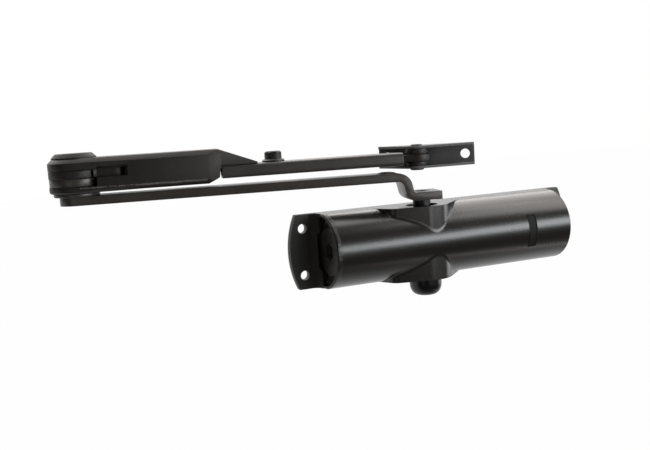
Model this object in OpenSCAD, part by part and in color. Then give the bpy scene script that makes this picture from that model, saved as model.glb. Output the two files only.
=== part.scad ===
// Overhead door closer with a folding hold-open arm.
// The origin is on the door face, behind the pinion and level with the middle of the body.
// X runs along the body towards its spring end, Y into the door and Z up along the pinion.

/* [Body casting] */
// Height of the body and of its back plate
body_h = 56; // [52:1:62]
// Thickness of the back plate
plate_t = 5.6; // [4:0.2:7]
// Distance from the door face to the front of the barrel
barrel_depth = 42; // [41:0.5:48]
// Length of the barrel from the pinion to the left rim
barrel_left = 80.5; // [76:0.5:95]
// Length of the barrel from the pinion to the right rim
barrel_right = 126; // [122:1:145]
// Reach of the flange corners past the rims
flange_reach = 15.8; // [14:0.2:20]
// Rise of the arched flange ends past their corners
flange_bulge = 6; // [3:0.5:8]
// Radius of the fillet between the flanges and the barrel ends
flange_fillet = 7; // [2:0.5:7.5]
// Wall left round the recess in the barrel ends
rim_wall = 2.2; // [1.5:0.1:3.5]
// Depth of the recess in the barrel ends
rim_depth = 2.5; // [1:0.5:4]
// Chamfer on the rims of the barrel
rim_chamfer = 1; // [0.4:0.1:2]

/* [Mounting holes] */
// Diameter of the four screw holes in the flanges
mount_hole_d = 7.1; // [5:0.1:8]
// Distance of each pair of screw holes outside its rim
mount_hole_out = 11.2; // [9:0.2:12]
// Distance between the upper and the lower screw hole
mount_hole_rise = 35; // [30:1:40]

/* [Pinion bosses] */
// Distance of the pinion axis in front of the door face
pinion_out = 23.5; // [23:0.1:25]
// Radius of the round nose of the bosses
nose_r = 20.5; // [18:0.5:21]
// Distance of the middle of the nose in front of the door face
nose_out = 20; // [18:0.5:21]
// Distance of the middle of the nose to the right of the pinion
nose_right = 2.5; // [0:0.5:4]
// Radius of the round shoulder on the left of the bosses
shoulder_r = 8; // [5:0.5:10]
// Distance of the middle of the shoulder in front of the door face
shoulder_out = 25; // [22:0.5:26]
// Distance of the middle of the shoulder to the left of the pinion
shoulder_left = 24.5; // [20:0.5:28]
// Length of the bosses to the left of the pinion
ramp_left = 38; // [35:1:45]
// Length of the bosses to the right of the pinion
ramp_right = 38; // [34:1:42]

/* [Cylinder] */
// Bore of the oil cylinder
bore_d = 35; // [33:0.5:36]
// Distance of the cylinder axis in front of the door face
bore_out = 21; // [20.5:0.1:22]
// Radial running clearance of the piston
piston_play = 0.06; // [0.02:0.01:0.1]
// Length of each end plug
plug_l = 12; // [9:1:16]

/* [Rack and pinion] */
// Number of pinion teeth
gear_teeth = 10; // [9:1:11]
// Module of the teeth
gear_module = 1.75; // [1.6:0.05:1.8]
// Pressure angle of the teeth
gear_pressure = 25; // [22:1:27]
// Length of the pinion teeth
gear_l = 20; // [16:1:21]
// Play between the flanks of the teeth
mesh_play = 0.3; // [0.2:0.05:0.5]
// Diameter of the pinion shaft
shaft_d = 13.4; // [12.4:0.2:13.6]
// Radial running clearance of shafts and pins
shaft_play = 0.05; // [0.02:0.01:0.1]
// Turn of the arm from the folded pose to the end of its travel
swing_max = 150; // [120:5:160]
// Turn of the arm the other way, to its stop
swing_back = 20; // [10:1:25]

/* [Bearings and seals] */
// Diameter of the bore for the upper bearing and the gland nut
gland_d = 24; // [23.6:0.2:25]
// Diameter of the bore for the lower bearing and the cap's shank
cap_shank_d = 20; // [19:0.5:21]
// Length of each pinion bearing
bearing_l = 4.8; // [4:0.2:5]
// Width of the spanner notches in the gland nut
notch_w = 3; // [2:0.5:4]
// Diameter of the domed cap
cap_d = 24.5; // [22:0.5:26]
// Height of the domed cap
cap_h = 13; // [10:0.2:16]
// Play round pieces that screw or press into the body
seat_play = 0.02; // [0.01:0.01:0.04]

/* [Springs and adjuster] */
// Mean diameter of the outer power spring
outer_spring_d = 26; // [24:0.5:28]
// Wire of the outer power spring
outer_wire = 3.6; // [3:0.1:4]
// Mean diameter of the inner power spring
inner_spring_d = 15.6; // [14:0.2:16.5]
// Wire of the inner power spring
inner_wire = 2.4; // [2:0.1:2.8]
// Diameter of the spring adjusting screw
adjuster_d = 8; // [6:0.5:10]
// Thickness of the spring seat
spring_seat_t = 4; // [3:0.5:6]
// Diameter of the two valve screws
valve_d = 6; // [5:0.2:6.4]
// Length of the two valve screws
valve_l = 22; // [14:1:30]

/* [Main arm] */
// Distance from the pinion to the elbow pin
arm_l = 252; // [230:1:300]
// Width of the bar
arm_w = 24.4; // [20:0.2:28]
// Thickness of the bar
arm_t = 6.2; // [5:0.2:7]
// Height of the underside of the bar above the middle of the body
arm_z = 47.3; // [46:0.1:50]
// Height of the underside of the foot above the middle of the body
foot_z = 32.3; // [31:0.1:34]
// Reach of the foot past the pinion axis
foot_reach = 13; // [11:0.5:16]
// Distance from the pinion to the start of the double bend
bend_start = 7; // [7:0.5:10]
// Direction of the arm in the folded pose, from the X axis
arm_angle = 165.8; // [160:0.1:175]
// Width across the flats of the pinion's square end
square_w = 10; // [9:0.5:11]
// Diameter of the head of the arm screw
arm_screw_head_d = 12.6; // [11:0.2:13]

/* [Elbow] */
// Diameter of the elbow discs
elbow_d = 37; // [34:0.5:40]
// Diameter of the spacer under the elbow housing
elbow_spacer_d = 32; // [28:0.5:34]
// Diameter of the elbow cap
elbow_cap_d = 31.4; // [28:0.2:34]
// Diameter of the elbow pin
elbow_pin_d = 10; // [8:0.5:12]
// Thickness of the elbow spacer
elbow_spacer_t = 2.5; // [2:0.1:4]
// Thickness of the lower ring
ring_t = 5.6; // [4:0.1:7]
// Thickness of the hold-open cam
cam_t = 5.7; // [4:0.1:7]
// Height of the elbow cap
elbow_cap_h = 3.4; // [2:0.1:5]
// Gap between faces that turn on each other
face_gap = 0.2; // [0.15:0.05:0.3]
// Depth of the step in the cam
cam_step = 3.5; // [2:0.1:4]

/* [Hold-open housing] */
// Thickness of the lower and upper walls at the elbow
housing_floor_t = 4.4; // [3.5:0.1:6]
// Height of the housing above the cam
housing_roof_t = 8; // [7:0.1:10]
// Width of the housing along its straight part
housing_w = 30; // [28:0.5:34]
// Thickness of the side walls
housing_wall = 2.6; // [2:0.1:3.2]
// Chamfer along the upper and lower edges
housing_chamfer = 3.4; // [2:0.1:3.6]
// Distance from the elbow pin to the start of the side walls
wall_start = 16; // [14.5:0.5:17]
// Distance from the elbow pin to the end of the window in the front wall
window_end = 37; // [35:0.5:39]
// Distance from the elbow pin to the end of the straight part
housing_l = 93; // [90:1:97]
// Distance from the elbow pin to the tip of the roof
roof_tip = 129; // [124:1:134]

/* [Roller] */
// Diameter of the roller
roller_d = 18; // [16:0.5:19]
// Diameter of the roller's pin
roller_pin_d = 6; // [5:0.5:7]
// Clearance between the roller and the cam
roller_gap = 0.3; // [0.2:0.05:0.5]
// Travel of the roller against its spring
roller_travel = 1.5; // [1:0.1:2]
// Wire of the hold-open spring
detent_wire = 2.2; // [1.6:0.1:2.6]
// Mean diameter of the hold-open spring
detent_spring_d = 12; // [10:0.5:13]

/* [Forearm] */
// Distance from the elbow pin to the shoe pin
forearm_l = 251; // [240:1:290]
// Width of the forearm tube
tube_w = 20.4; // [18:0.2:22]
// Height of the forearm tube
tube_h = 9.4; // [8.6:0.2:10]
// Wall of the forearm tube
tube_wall = 1.6; // [1.2:0.1:1.8]
// Corner radius of the forearm tube
tube_r = 2.4; // [2:0.1:3]
// Height of the underside of the tube above the middle of the body
tube_z = 58.9; // [58.8:0.1:60]
// Distance from the elbow pin to the near end of the tube
tube_start = 103; // [101:0.5:106]
// Distance from the far end of the tube to the shoe pin
tube_end_gap = 13; // [12.5:0.5:20]
// Distance from the elbow pin to the clamp bolt
clamp_bolt_at = 141.5; // [136:0.5:150]
// Shank diameter of the clamp bolt
clamp_bolt_d = 6; // [5:0.5:8]
// Width across the flats of the clamp bolt's head
clamp_bolt_flats = 11.2; // [10:0.2:13]
// Flange diameter of the clamp bolt
clamp_flange_d = 16.6; // [14:0.2:18]
// Thickness of the forearm rod
rod_t = 5.2; // [4.5:0.1:5.6]
// Sliding clearance of the rod in the tube
rod_play = 0.2; // [0.15:0.05:0.4]
// Adjustment of the rod outwards
rod_out = 24; // [10:1:26]
// Adjustment of the rod inwards
rod_in = 3; // [1:0.5:3]
// Diameter of the rod's eye
eye_d = 20.4; // [18:0.2:22]
// Direction of the forearm in the folded pose, from the X axis
forearm_angle = -13.3; // [-20:0.1:-5]

/* [Shoe] */
// Height of the shoe
shoe_h = 17; // [16.4:0.1:20]
// Thickness of the shoe's steel
shoe_t = 1.9; // [1.5:0.1:2.2]
// Distance from the shoe pin to the back face of the web
shoe_depth = 18; // [17:0.5:22]
// Length of the web to the left of the pin
shoe_left = 32; // [28:1:40]
// Length of the web to the right of the pin
shoe_right = 42; // [36:1:50]
// Width of the shoe's flanges at their ends
shoe_lip = 4; // [3:0.5:6]
// Radius of the shoe's nose round the pin
shoe_nose_r = 9; // [8:0.5:11]
// Diameter of the screw holes in the shoe
shoe_hole_d = 7.2; // [5:0.1:8]
// Distance of each screw hole from its end of the web
shoe_hole_in = 7; // [6:0.5:9]
// Diameter of the shoe pin
shoe_pin_d = 8; // [6:0.5:9]
// Diameter of the rivet head under the shoe
rivet_head_d = 10.4; // [9:0.2:13]
// Diameter of the upper spacer in the shoe
upper_spacer_d = 17.6; // [14:0.2:18]
// Diameter of the lower spacer in the shoe
lower_spacer_d = 16; // [13:0.2:18]
// Direction of the shoe in the folded pose, from the X axis
shoe_angle = -38; // [-60:1:-15]

/* [Hidden] */
$fn = 72;
eps = 0.01;

// Body
half_h = body_h / 2;
barrel_r = half_h;
barrel_y = -(barrel_depth - barrel_r);
bore_r = bore_d / 2;
piston_r = bore_r - piston_play;
flange_arc_r = (half_h * half_h + flange_bulge * flange_bulge) / (2 * flange_bulge);
left_corner = -(barrel_left + flange_reach);
right_corner = barrel_right + flange_reach;
fillet_front = plate_t + flange_fillet;
// Depth by which nearly tangent faces cross each other, and drop of the boss faces
tangent_dip = 0.03;
boss_drop = 0.05;
boss_z = half_h - boss_drop;
// Width of the plate's square part inside each arched end, and its overlap with the end
plate_inset = 2;
arch_overlap = 5;

// Pinion and rack
pitch_r = gear_module * gear_teeth / 2;
tip_r = pitch_r + gear_module;
root_r = pitch_r - 1.25 * gear_module;
base_r = pitch_r * cos(gear_pressure);
rack_pitch = PI * gear_module;
rack_addendum = 0.8 * gear_module;
rack_dedendum = 1.2 * gear_module;
rack_y = -pinion_out - pitch_r;
barrel_l = barrel_left + barrel_right;
travel_right = pitch_r * swing_max * PI / 180;
travel_left = pitch_r * swing_back * PI / 180;
slot_gap = 2;
slot_left = -(travel_right + tip_r + slot_gap);
slot_right = travel_left + tip_r + slot_gap;
slot_rear_gap = 0.5;
slot_rear_y = -pinion_out + tip_r + slot_rear_gap;
piston_head_l = 12;
piston_crown_l = 16;
piston_left = slot_left - piston_head_l;
piston_right = slot_right + piston_crown_l;
ring_groove_depth = 2;
ring_groove_w = 2.4;
shaft_r = shaft_d / 2;
gland_r = gland_d / 2;
cap_shank_r = cap_shank_d / 2;
cap_r = cap_d / 2;
cap_flat_r = 6;
seal_h = 2.4;
seal_w = 2.2;
seal_land = 0.8;
notch_start = shaft_r + seal_w + seal_land;
notch_l = gland_r - notch_start + 1;
notch_depth = 1.2;
bearing_gap = 0.4;
bearing_top = bore_r + bearing_gap + bearing_l;
gland_gap = 0.2;
gland_bottom = bearing_top + gland_gap;
// Depth of the gland nut under the face of its boss
gland_recess = 1.8;
cap_rim_h = 4.5;
cap_shank_gap = 0.7;
cap_shank_wall = 2.4;
cap_shank_l = half_h - bearing_top - cap_shank_gap;
shaft_bottom = -(bearing_top + cap_shank_gap / 2);

ring_inset = 3;
left_ring_x = piston_left + ring_inset;
right_ring_x = piston_right - ring_inset - ring_groove_w;
check_port_r = 1.6;
check_ball_r = 2.4;
check_pocket_r = 3.2;
check_pocket_l = 9;
check_ball_gap = 0.3;
check_pocket_x = piston_right - check_pocket_l;
check_retainer_t = 2;
check_retainer_lip = 0.4;
left_plug_outer = barrel_left - rim_depth;
plug_socket = 12;
plug_socket_depth = 5;

// Springs
spring_washer_t = 1.5;
spring_disc_gap = 0.6;
spring_seat_gap = 0.5;
coil_gap = 0.5;
plug_outer = barrel_right - rim_depth;
plug_inner = plug_outer - plug_l;
spring_seat_x = plug_inner - spring_seat_t - spring_seat_gap;
spring_start = piston_right + spring_washer_t;
spring_l = spring_seat_x - spring_start;
valve_land = 0.5;
valve_wall = 1.5;
valve_y = -(fillet_front + valve_d / 2 + valve_land);
valve_z = half_h - rim_wall - valve_d / 2 - valve_wall;
valve_tip_l = 3;
valve_sunk = 0.5;
valve_slot_w = 1;
valve_slot_depth = 2;
adjuster_collar_w = 2;
adjuster_collar_r = adjuster_d / 2 + adjuster_collar_w;
adjuster_collar_l = 2.5;
adjuster_lead = 3;
adjuster_sunk = 0.5;
adjuster_socket_l = 4;
spring_hub_l = 6;
spring_hub_w = 1.6;
spring_hub_r = adjuster_d / 2 + spring_hub_w;

// Arms
pinion_at = [0, -pinion_out, 0];
bend_inner_r = 1.6;
bend_outer_r = 4.8;
bend_tilt = 78;
bend_steps = 12;
bend_drop = arm_z - foot_z;
lower_mid_r = bend_inner_r + arm_t / 2;
upper_mid_r = bend_outer_r + arm_t / 2;
mid_sum = lower_mid_r + upper_mid_r;
bend_web_l = (bend_drop - mid_sum * (1 - cos(bend_tilt))) / sin(bend_tilt);
bend_l = mid_sum * sin(bend_tilt) + bend_web_l * cos(bend_tilt);
arm_top = arm_z + arm_t;
arm_screw_head_h = 1.8;
foot_top = foot_z + arm_t;
arm_screw_gap = 0.2;
square_top = foot_top - arm_screw_head_h - arm_screw_gap;
arm_screw_r = 3.5;
arm_screw_l = 12;
arm_screw_socket = 7.6;
arm_screw_socket_l = 1.2;
elbow_pin_r = elbow_pin_d / 2;
elbow_at = pinion_at + arm_l * [cos(arm_angle), sin(arm_angle), 0];
forearm_dir = [cos(forearm_angle), sin(forearm_angle), 0];
shoe_at = elbow_at + forearm_l * forearm_dir;

// Elbow stack, upwards from the main arm
spacer_z = arm_top;
housing_z = spacer_z + elbow_spacer_t + face_gap;
ring_z = housing_z + housing_floor_t + face_gap;
cam_z = ring_z + ring_t;
roof_z = cam_z + cam_t + face_gap;
housing_top = roof_z + housing_roof_t;
cap_z = housing_top + face_gap;
elbow_r = elbow_d / 2;
cam_low_r = elbow_r - cam_step;
cam_step_start = -48;
cam_step_end = 192;
cam_notch_at = 100;
cam_notch_depth = 1.4;
cap_edge = 0.2;
pin_in_cap = 1.5;
elbow_ring_in = 0.3;
housing_shoulder = 45;
roof_lip = 1.2;
floor_in = 2.6;
roof_in = 2.6;
// Chamfers of the housing's round end, and how its end narrows and slopes down to the tube
housing_low_chamfer = 1;
housing_top_chamfer = housing_chamfer - 0.4;
roof_slope_l = 8;
tube_hold = 0.6;
tip_narrow = 1;
floor_tip_in = 2;
floor_tip_rise = 1.2;
window_low = 0.3;
window_high = 1.3;

// Roller
roller_r = roller_d / 2;
roller_at = cam_low_r + roller_gap + roller_r;
fork_t = 2.6;
fork_side_gap = 1;
fork_w = housing_w - 2 * housing_wall - 2 * fork_side_gap;
fork_reach = 2;
fork_block_at = roller_at + roller_r + roller_travel;
fork_block_l = 6;
roller_side_gap = 0.1;
stop_in = 9;
stop_at = housing_l - stop_in;
stop_t = 3;

// Forearm
tube_top = tube_z + tube_h;
tube_end = forearm_l - tube_end_gap;
// The inner corners are tight enough for the square corners of the rod
tube_inner_r = 2 * rod_play;
rod_w = tube_w - 2 * tube_wall - 2 * rod_play;
rod_z = tube_z + (tube_h - rod_t) / 2;
rod_start_gap = 1;
rod_start = tube_start + rod_in + rod_start_gap;
clamp_flange_h = 1.9;
clamp_head_h = 5.8;
clamp_edge = 0.1;
clamp_flange_chamfer = 1;
clamp_head_w = 0.7;
clamp_head_chamfer = 1.2;
clamp_bolt_up = 0.2;
bolt_slot_gap = 0.3;

// Shoe, its spacers fill what the rod leaves between the flanges
shoe_rise = 0.6;
shoe_z = rod_z + rod_t / 2 + shoe_rise - shoe_h / 2;
shoe_top = shoe_z + shoe_h;
shoe_web_y = shoe_depth - shoe_t;
rivet_head_h = 1.4;
pin_head_h = 1;
rivet_chamfer = 0.5;
pin_edge = 0.05;
pin_head_w = 0.3;
pin_head_chamfer = 0.4;
spacer_gap = 0.15;

function circle_point(r, a) = [r * cos(a), r * sin(a)];
function involute_angle(a) = tan(a) * 180 / PI - a;
// Half of the angle that a pinion tooth spans at a radius
function tooth_half_angle(r) =
    90 / gear_teeth + involute_angle(gear_pressure) - involute_angle(acos(base_r / r));
// Direction of the tangent point on a circle about the origin, for a line to an outside point
function tangent_direction(r, to, side) = atan2(to[1], to[0]) + side * acos(r / norm(to));

// Turns a body along Z so that it runs along X from a point
module along_x(x, y, z) {
    translate([x, y, z]) rotate([0, 90, 0]) children();
}

module disc_ring(outer_r, inner_r, h) {
    difference() {
        cylinder(r = outer_r, h = h);
        translate([0, 0, -eps]) cylinder(r = inner_r, h = h + 2 * eps);
    }
}

// Disc from z = 0 with a chamfer round its lower and its upper edge
module chamfered_disc(r, h, low, high) {
    rotate_extrude() polygon([[0, 0], [r - low, 0], [r, low], [r, h - high], [r - high, h], [0, h]]);
}

module rounded_rect(w, h, r) {
    square([w - 2 * r, h], center = true);
    square([w, h - 2 * r], center = true);
    for (x = [-1, 1], y = [-1, 1])
        translate([x * (w / 2 - r), y * (h / 2 - r)]) circle(r = r, $fn = 48);
}

module hex_socket(flats, depth) {
    cylinder(d = flats / cos(30), h = depth, $fn = 6);
}

module in_arm_frame() {
    translate(pinion_at) rotate([0, 0, arm_angle]) children();
}

module in_forearm_frame() {
    translate(elbow_at) rotate([0, 0, forearm_angle]) children();
}

module in_shoe_frame() {
    translate(shoe_at) rotate([0, 0, shoe_angle]) children();
}

// Helical spring along Z from 0 to its length, with its first and last turns closed
module coil(mean_d, wire, length, turns, steps, sides) {
    wire_r = wire / 2;
    closed_pitch = wire + coil_gap;
    open_pitch = (length - wire - 2 * closed_pitch) / (turns - 2);
    count = turns * steps;
    function height(t) = wire_r + min(t, 1) * closed_pitch
        + max(0, min(t, turns - 1) - 1) * open_pitch + max(0, t - turns + 1) * closed_pitch;
    points = [for (i = [0 : count], j = [0 : sides - 1])
        let (a = 360 * i / steps, b = 360 * j / sides, r = mean_d / 2 + wire_r * cos(b))
        [r * cos(a), r * sin(a), height(i / steps) + wire_r * sin(b)]];
    walls = [for (i = [0 : count - 1], j = [0 : sides - 1])
        let (k = (j + 1) % sides, p = i * sides, q = p + sides)
        each [[p + j, q + k, q + j], [p + j, p + k, q + k]]];
    start_cap = [[for (j = [sides - 1 : -1 : 0]) j]];
    end_cap = [[for (j = [0 : sides - 1]) count * sides + j]];
    polyhedron(points = points, faces = concat(start_cap, walls, end_cap), convexity = 10);
}

module back_plate() {
    rotate([90, 0, 0]) linear_extrude(plate_t) difference() {
        union() {
            translate([left_corner + plate_inset, -half_h])
                square([right_corner - left_corner - 2 * plate_inset, body_h]);
            arched_end(right_corner);
            mirror([1, 0]) arched_end(-left_corner);
        }
        for (x = [-barrel_left - mount_hole_out, barrel_right + mount_hole_out], side = [-1, 1])
            translate([x, side * mount_hole_rise / 2]) circle(d = mount_hole_d);
    }
}

module arched_end(corner) {
    intersection() {
        translate([corner + flange_bulge - flange_arc_r, 0]) circle(r = flange_arc_r, $fn = 180);
        translate([corner - arch_overlap, -half_h])
            square([flange_bulge + arch_overlap + 1, body_h]);
    }
}

// Half round in front of straight sides, chamfered round both ends
module barrel() {
    difference() {
        along_x(-barrel_left, barrel_y, 0)
            chamfered_disc(barrel_r, barrel_l, rim_chamfer, rim_chamfer, $fn = 144);
        translate([-barrel_left - 1, barrel_y, -half_h - 1])
            cube([barrel_l + 2, barrel_r + 1, body_h + 2]);
    }
    translate([-barrel_left, 0, 0]) rotate([90, 0, 0]) linear_extrude(-barrel_y) polygon([
        [0, rim_chamfer - half_h], [rim_chamfer, -half_h], [barrel_l - rim_chamfer, -half_h],
        [barrel_l, rim_chamfer - half_h], [barrel_l, half_h - rim_chamfer],
        [barrel_l - rim_chamfer, half_h], [rim_chamfer, half_h], [0, half_h - rim_chamfer]]);
}

// Recess along X inside the rim of a barrel end, in front of the flange and its fillet
module rim_recess() {
    difference() {
        along_x(0, barrel_y, 0) cylinder(r = barrel_r - rim_wall, h = rim_depth + 1, $fn = 144);
        translate([-1, -fillet_front, -barrel_r])
            cube([rim_depth + 3, barrel_depth, 2 * barrel_r]);
    }
}

// Fillet between the back plate and the left end of the barrel
module end_fillet() {
    height = 2 * boss_z;
    translate([-flange_fillet, -fillet_front, -height / 2]) linear_extrude(height)
        difference() {
            square([flange_fillet + 0.5, flange_fillet + 0.5]);
            circle(r = flange_fillet + tangent_dip);
        }
}

// Plan of the bosses: a round nose, a smaller round shoulder on its left, and straight sides
module boss_plan() {
    nose = [nose_right, -nose_out];
    shoulder = [-shoulder_left, -shoulder_out];
    left = [-ramp_left, barrel_y];
    right = [ramp_right, barrel_y];
    nose_touch = nose_r - tangent_dip;
    shoulder_touch = shoulder_r - tangent_dip;
    across = nose - shoulder;
    front = atan2(across[1], across[0]) - acos((shoulder_r - nose_r) / norm(across));
    translate(nose) circle(r = nose_r, $fn = 96);
    translate(shoulder) circle(r = shoulder_r);
    polygon([left,
        shoulder + circle_point(shoulder_touch, tangent_direction(shoulder_touch, left - shoulder, 1)),
        shoulder + circle_point(shoulder_touch, front),
        nose + circle_point(nose_touch, front),
        nose + circle_point(nose_touch, tangent_direction(nose_touch, right - nose, -1)),
        right, [ramp_right, barrel_y / 2], [-ramp_left, barrel_y / 2]]);
}

module body_casting() color("#2b2b2e") {
    difference() {
        union() {
            back_plate();
            barrel();
            translate([0, 0, -boss_z]) linear_extrude(2 * boss_z) boss_plan();
            translate([-barrel_left, 0, 0]) end_fillet();
            translate([barrel_right, 0, 0]) mirror([1, 0, 0]) end_fillet();
        }
        along_x(-barrel_left - 1, -bore_out, 0) cylinder(r = bore_r, h = barrel_l + 2);
        translate([-barrel_left - 1, 0, 0]) rim_recess();
        translate([barrel_right - rim_depth, 0, 0]) rim_recess();
        translate(pinion_at) cylinder(r = gland_r, h = half_h + 1);
        translate(pinion_at) mirror([0, 0, 1]) cylinder(r = cap_shank_r, h = half_h + 1);
        for (side = [-1, 1])
            along_x(plug_outer - valve_l - 1, valve_y, side * valve_z)
                cylinder(d = valve_d + 2 * shaft_play, h = valve_l + rim_depth + 2);
    }
}

// End plug along Z from its inner face, with a groove for its sealing ring
module plug_blank() {
    difference() {
        cylinder(r = bore_r - seat_play, h = plug_l);
        translate([0, 0, plug_l / 2 - ring_groove_w / 2])
            disc_ring(bore_r + 1, bore_r - ring_groove_depth, ring_groove_w);
    }
}

module plug_seal() {
    translate([0, 0, plug_l / 2 - ring_groove_w / 2 + seat_play])
        disc_ring(bore_r - seat_play, bore_r - ring_groove_depth + seat_play,
            ring_groove_w - 2 * seat_play);
}

module left_end_plug() color("#1e1e20") {
    along_x(-left_plug_outer, -bore_out, 0) difference() {
        plug_blank();
        translate([0, 0, -eps]) hex_socket(plug_socket, plug_socket_depth);
    }
}

module right_end_plug() color("#1e1e20") {
    along_x(plug_inner, -bore_out, 0) difference() {
        plug_blank();
        translate([0, 0, -eps]) cylinder(r = adjuster_d / 2 + shaft_play, h = plug_l + 1);
        translate([0, 0, -eps])
            cylinder(r = adjuster_collar_r + shaft_play, h = adjuster_collar_l + face_gap);
    }
}

module end_plug_seals() color("#101010") {
    along_x(-left_plug_outer, -bore_out, 0) plug_seal();
    along_x(plug_inner, -bore_out, 0) plug_seal();
}

module upper_bearing() color("#9a9a9c") {
    translate(pinion_at + [0, 0, bearing_top - bearing_l])
        disc_ring(gland_r - seat_play, shaft_r + shaft_play, bearing_l);
}

module lower_bearing() color("#9a9a9c") {
    translate(pinion_at - [0, 0, bearing_top])
        disc_ring(cap_shank_r - seat_play, shaft_r + shaft_play, bearing_l);
}

module gland_nut() color("#2b2b2e") {
    height = half_h - gland_recess - gland_bottom;
    translate(pinion_at + [0, 0, gland_bottom]) difference() {
        cylinder(r = gland_r - seat_play, h = height);
        translate([0, 0, -eps]) cylinder(r = shaft_r + shaft_play, h = height + 1);
        translate([0, 0, -eps]) cylinder(r = shaft_r + seal_w + seat_play, h = seal_h + face_gap);
        for (side = [-1, 1])
            translate([side * (notch_start + notch_l / 2), 0, height - notch_depth / 2 + eps])
                cube([notch_l, notch_w, notch_depth], center = true);
    }
}

module shaft_seal() color("#101010") {
    translate(pinion_at + [0, 0, gland_bottom])
        disc_ring(shaft_r + seal_w, shaft_r + shaft_play, seal_h);
}

// Domed cap: a rim, then a quarter ellipse down to a small flat
module bottom_cap() color("#1c1c1e") {
    dome_h = cap_h - cap_rim_h;
    flat_r = cap_flat_r;
    translate(pinion_at - [0, 0, half_h]) {
        mirror([0, 0, 1]) rotate_extrude() union() {
            square([cap_r, cap_rim_h]);
            polygon(concat([[0, 0]], [for (a = [0 : 7.5 : 90])
                [flat_r + (cap_r - flat_r) * cos(a), cap_rim_h + dome_h * sin(a)]],
                [[0, cap_h]]));
        }
        disc_ring(cap_shank_r - seat_play, cap_shank_r - cap_shank_wall, cap_shank_l);
    }
}

// Regulating screw along X, with a driver slot in its outer end and a tapered tip
module valve_screw(side) {
    along_x(plug_outer - valve_l, valve_y, side * valve_z) difference() {
        union() {
            cylinder(r1 = valve_d / 6, r2 = valve_d / 2, h = valve_tip_l);
            translate([0, 0, valve_tip_l])
                cylinder(d = valve_d, h = valve_l - valve_tip_l - valve_sunk);
        }
        translate([-valve_d, -valve_slot_w / 2, valve_l - valve_slot_depth])
            cube([2 * valve_d, valve_slot_w, valve_slot_depth]);
    }
}

module sweep_valve() color("#b8a060") valve_screw(1);

module latch_valve() color("#b8a060") valve_screw(-1);

module pinion_tooth() {
    low = max(base_r, root_r);
    radii = [for (i = [0 : 6]) low + (tip_r - low) * i / 6];
    rising = [for (r = radii) circle_point(r, -tooth_half_angle(r))];
    falling = [for (i = [6 : -1 : 0]) circle_point(radii[i], tooth_half_angle(radii[i]))];
    polygon(concat([[0, 0]], rising, falling));
}

module pinion() color("#8c8c90") {
    translate(pinion_at) difference() {
        union() {
            translate([0, 0, -gear_l / 2]) linear_extrude(gear_l) {
                circle(r = root_r);
                for (i = [0 : gear_teeth - 1])
                    rotate(i * 360 / gear_teeth - 90) pinion_tooth();
            }
            translate([0, 0, shaft_bottom]) cylinder(r = shaft_r, h = square_top - shaft_bottom);
        }
        for (i = [0 : 3])
            rotate([0, 0, arm_angle + 90 * i]) translate([square_w / 2, -shaft_r, foot_z])
                cube([shaft_r, 2 * shaft_r, square_top]);
        translate([0, 0, square_top - arm_screw_l])
            cylinder(r = arm_screw_r + seat_play, h = arm_screw_l + 1);
    }
}

module ring_groove(x) {
    along_x(x, -bore_out, 0)
        disc_ring(bore_r + 1, piston_r - ring_groove_depth, ring_groove_w);
}

module piston_ring(x) {
    along_x(x + seat_play, -bore_out, 0)
        disc_ring(bore_r - piston_play / 2, piston_r - ring_groove_depth + seat_play,
            ring_groove_w - 2 * seat_play);
}

// Space between two rack teeth, open towards the pinion
module rack_space() {
    half_w = rack_pitch / 4 + mesh_play / 2;
    top_w = half_w + (rack_addendum + 1) * tan(gear_pressure);
    root_w = half_w - rack_dedendum * tan(gear_pressure);
    polygon([[-top_w, rack_addendum + 1], [-root_w, -rack_dedendum],
        [root_w, -rack_dedendum], [top_w, rack_addendum + 1]]);
}

module piston() color("#a4a4a8") {
    rack_tip_y = rack_y + rack_addendum;
    first = ceil(slot_left / rack_pitch) + 1;
    last = floor(slot_right / rack_pitch) - 1;
    difference() {
        along_x(piston_left, -bore_out, 0) cylinder(r = piston_r, h = piston_right - piston_left);
        translate([slot_left, rack_tip_y, -bore_r - 1])
            cube([slot_right - slot_left, slot_rear_y - rack_tip_y, bore_d + 2]);
        for (i = [first : last])
            translate([i * rack_pitch, rack_y, -bore_r - 1])
                linear_extrude(bore_d + 2) rack_space();
        ring_groove(left_ring_x);
        ring_groove(right_ring_x);
        along_x(slot_right - 1, -bore_out, 0) cylinder(r = check_port_r, h = piston_crown_l + 2);
        along_x(check_pocket_x, -bore_out, 0) cylinder(r = check_pocket_r, h = check_pocket_l + 1);
    }
}

module piston_rings() color("#3a3a3c") {
    piston_ring(left_ring_x);
    piston_ring(right_ring_x);
}

module check_ball() color("#c8c8cc") {
    translate([check_pocket_x + check_ball_r + check_ball_gap, -bore_out, 0]) sphere(r = check_ball_r);
}

module check_retainer() color("#c0a050") {
    along_x(piston_right - check_retainer_t, -bore_out, 0)
        disc_ring(check_pocket_r - seat_play, check_port_r - check_retainer_lip, check_retainer_t);
}

module spring_washer() color("#8c8c90") {
    along_x(piston_right, -bore_out, 0)
        disc_ring(bore_r - spring_disc_gap, check_pocket_r, spring_washer_t);
}

module outer_spring() color("#6c6c70") {
    along_x(spring_start, -bore_out, 0) coil(outer_spring_d, outer_wire, spring_l, 8, 20, 6);
}

module inner_spring() color("#6c6c70") {
    along_x(spring_start, -bore_out, 0) coil(inner_spring_d, inner_wire, spring_l, 11, 16, 6);
}

module spring_seat() color("#8c8c90") {
    along_x(spring_seat_x, -bore_out, 0) {
        disc_ring(bore_r - spring_disc_gap, adjuster_d / 2 + shaft_play, spring_seat_t);
        translate([0, 0, -spring_hub_l])
            disc_ring(spring_hub_r, adjuster_d / 2 + shaft_play, spring_hub_l + eps);
    }
}

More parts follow.
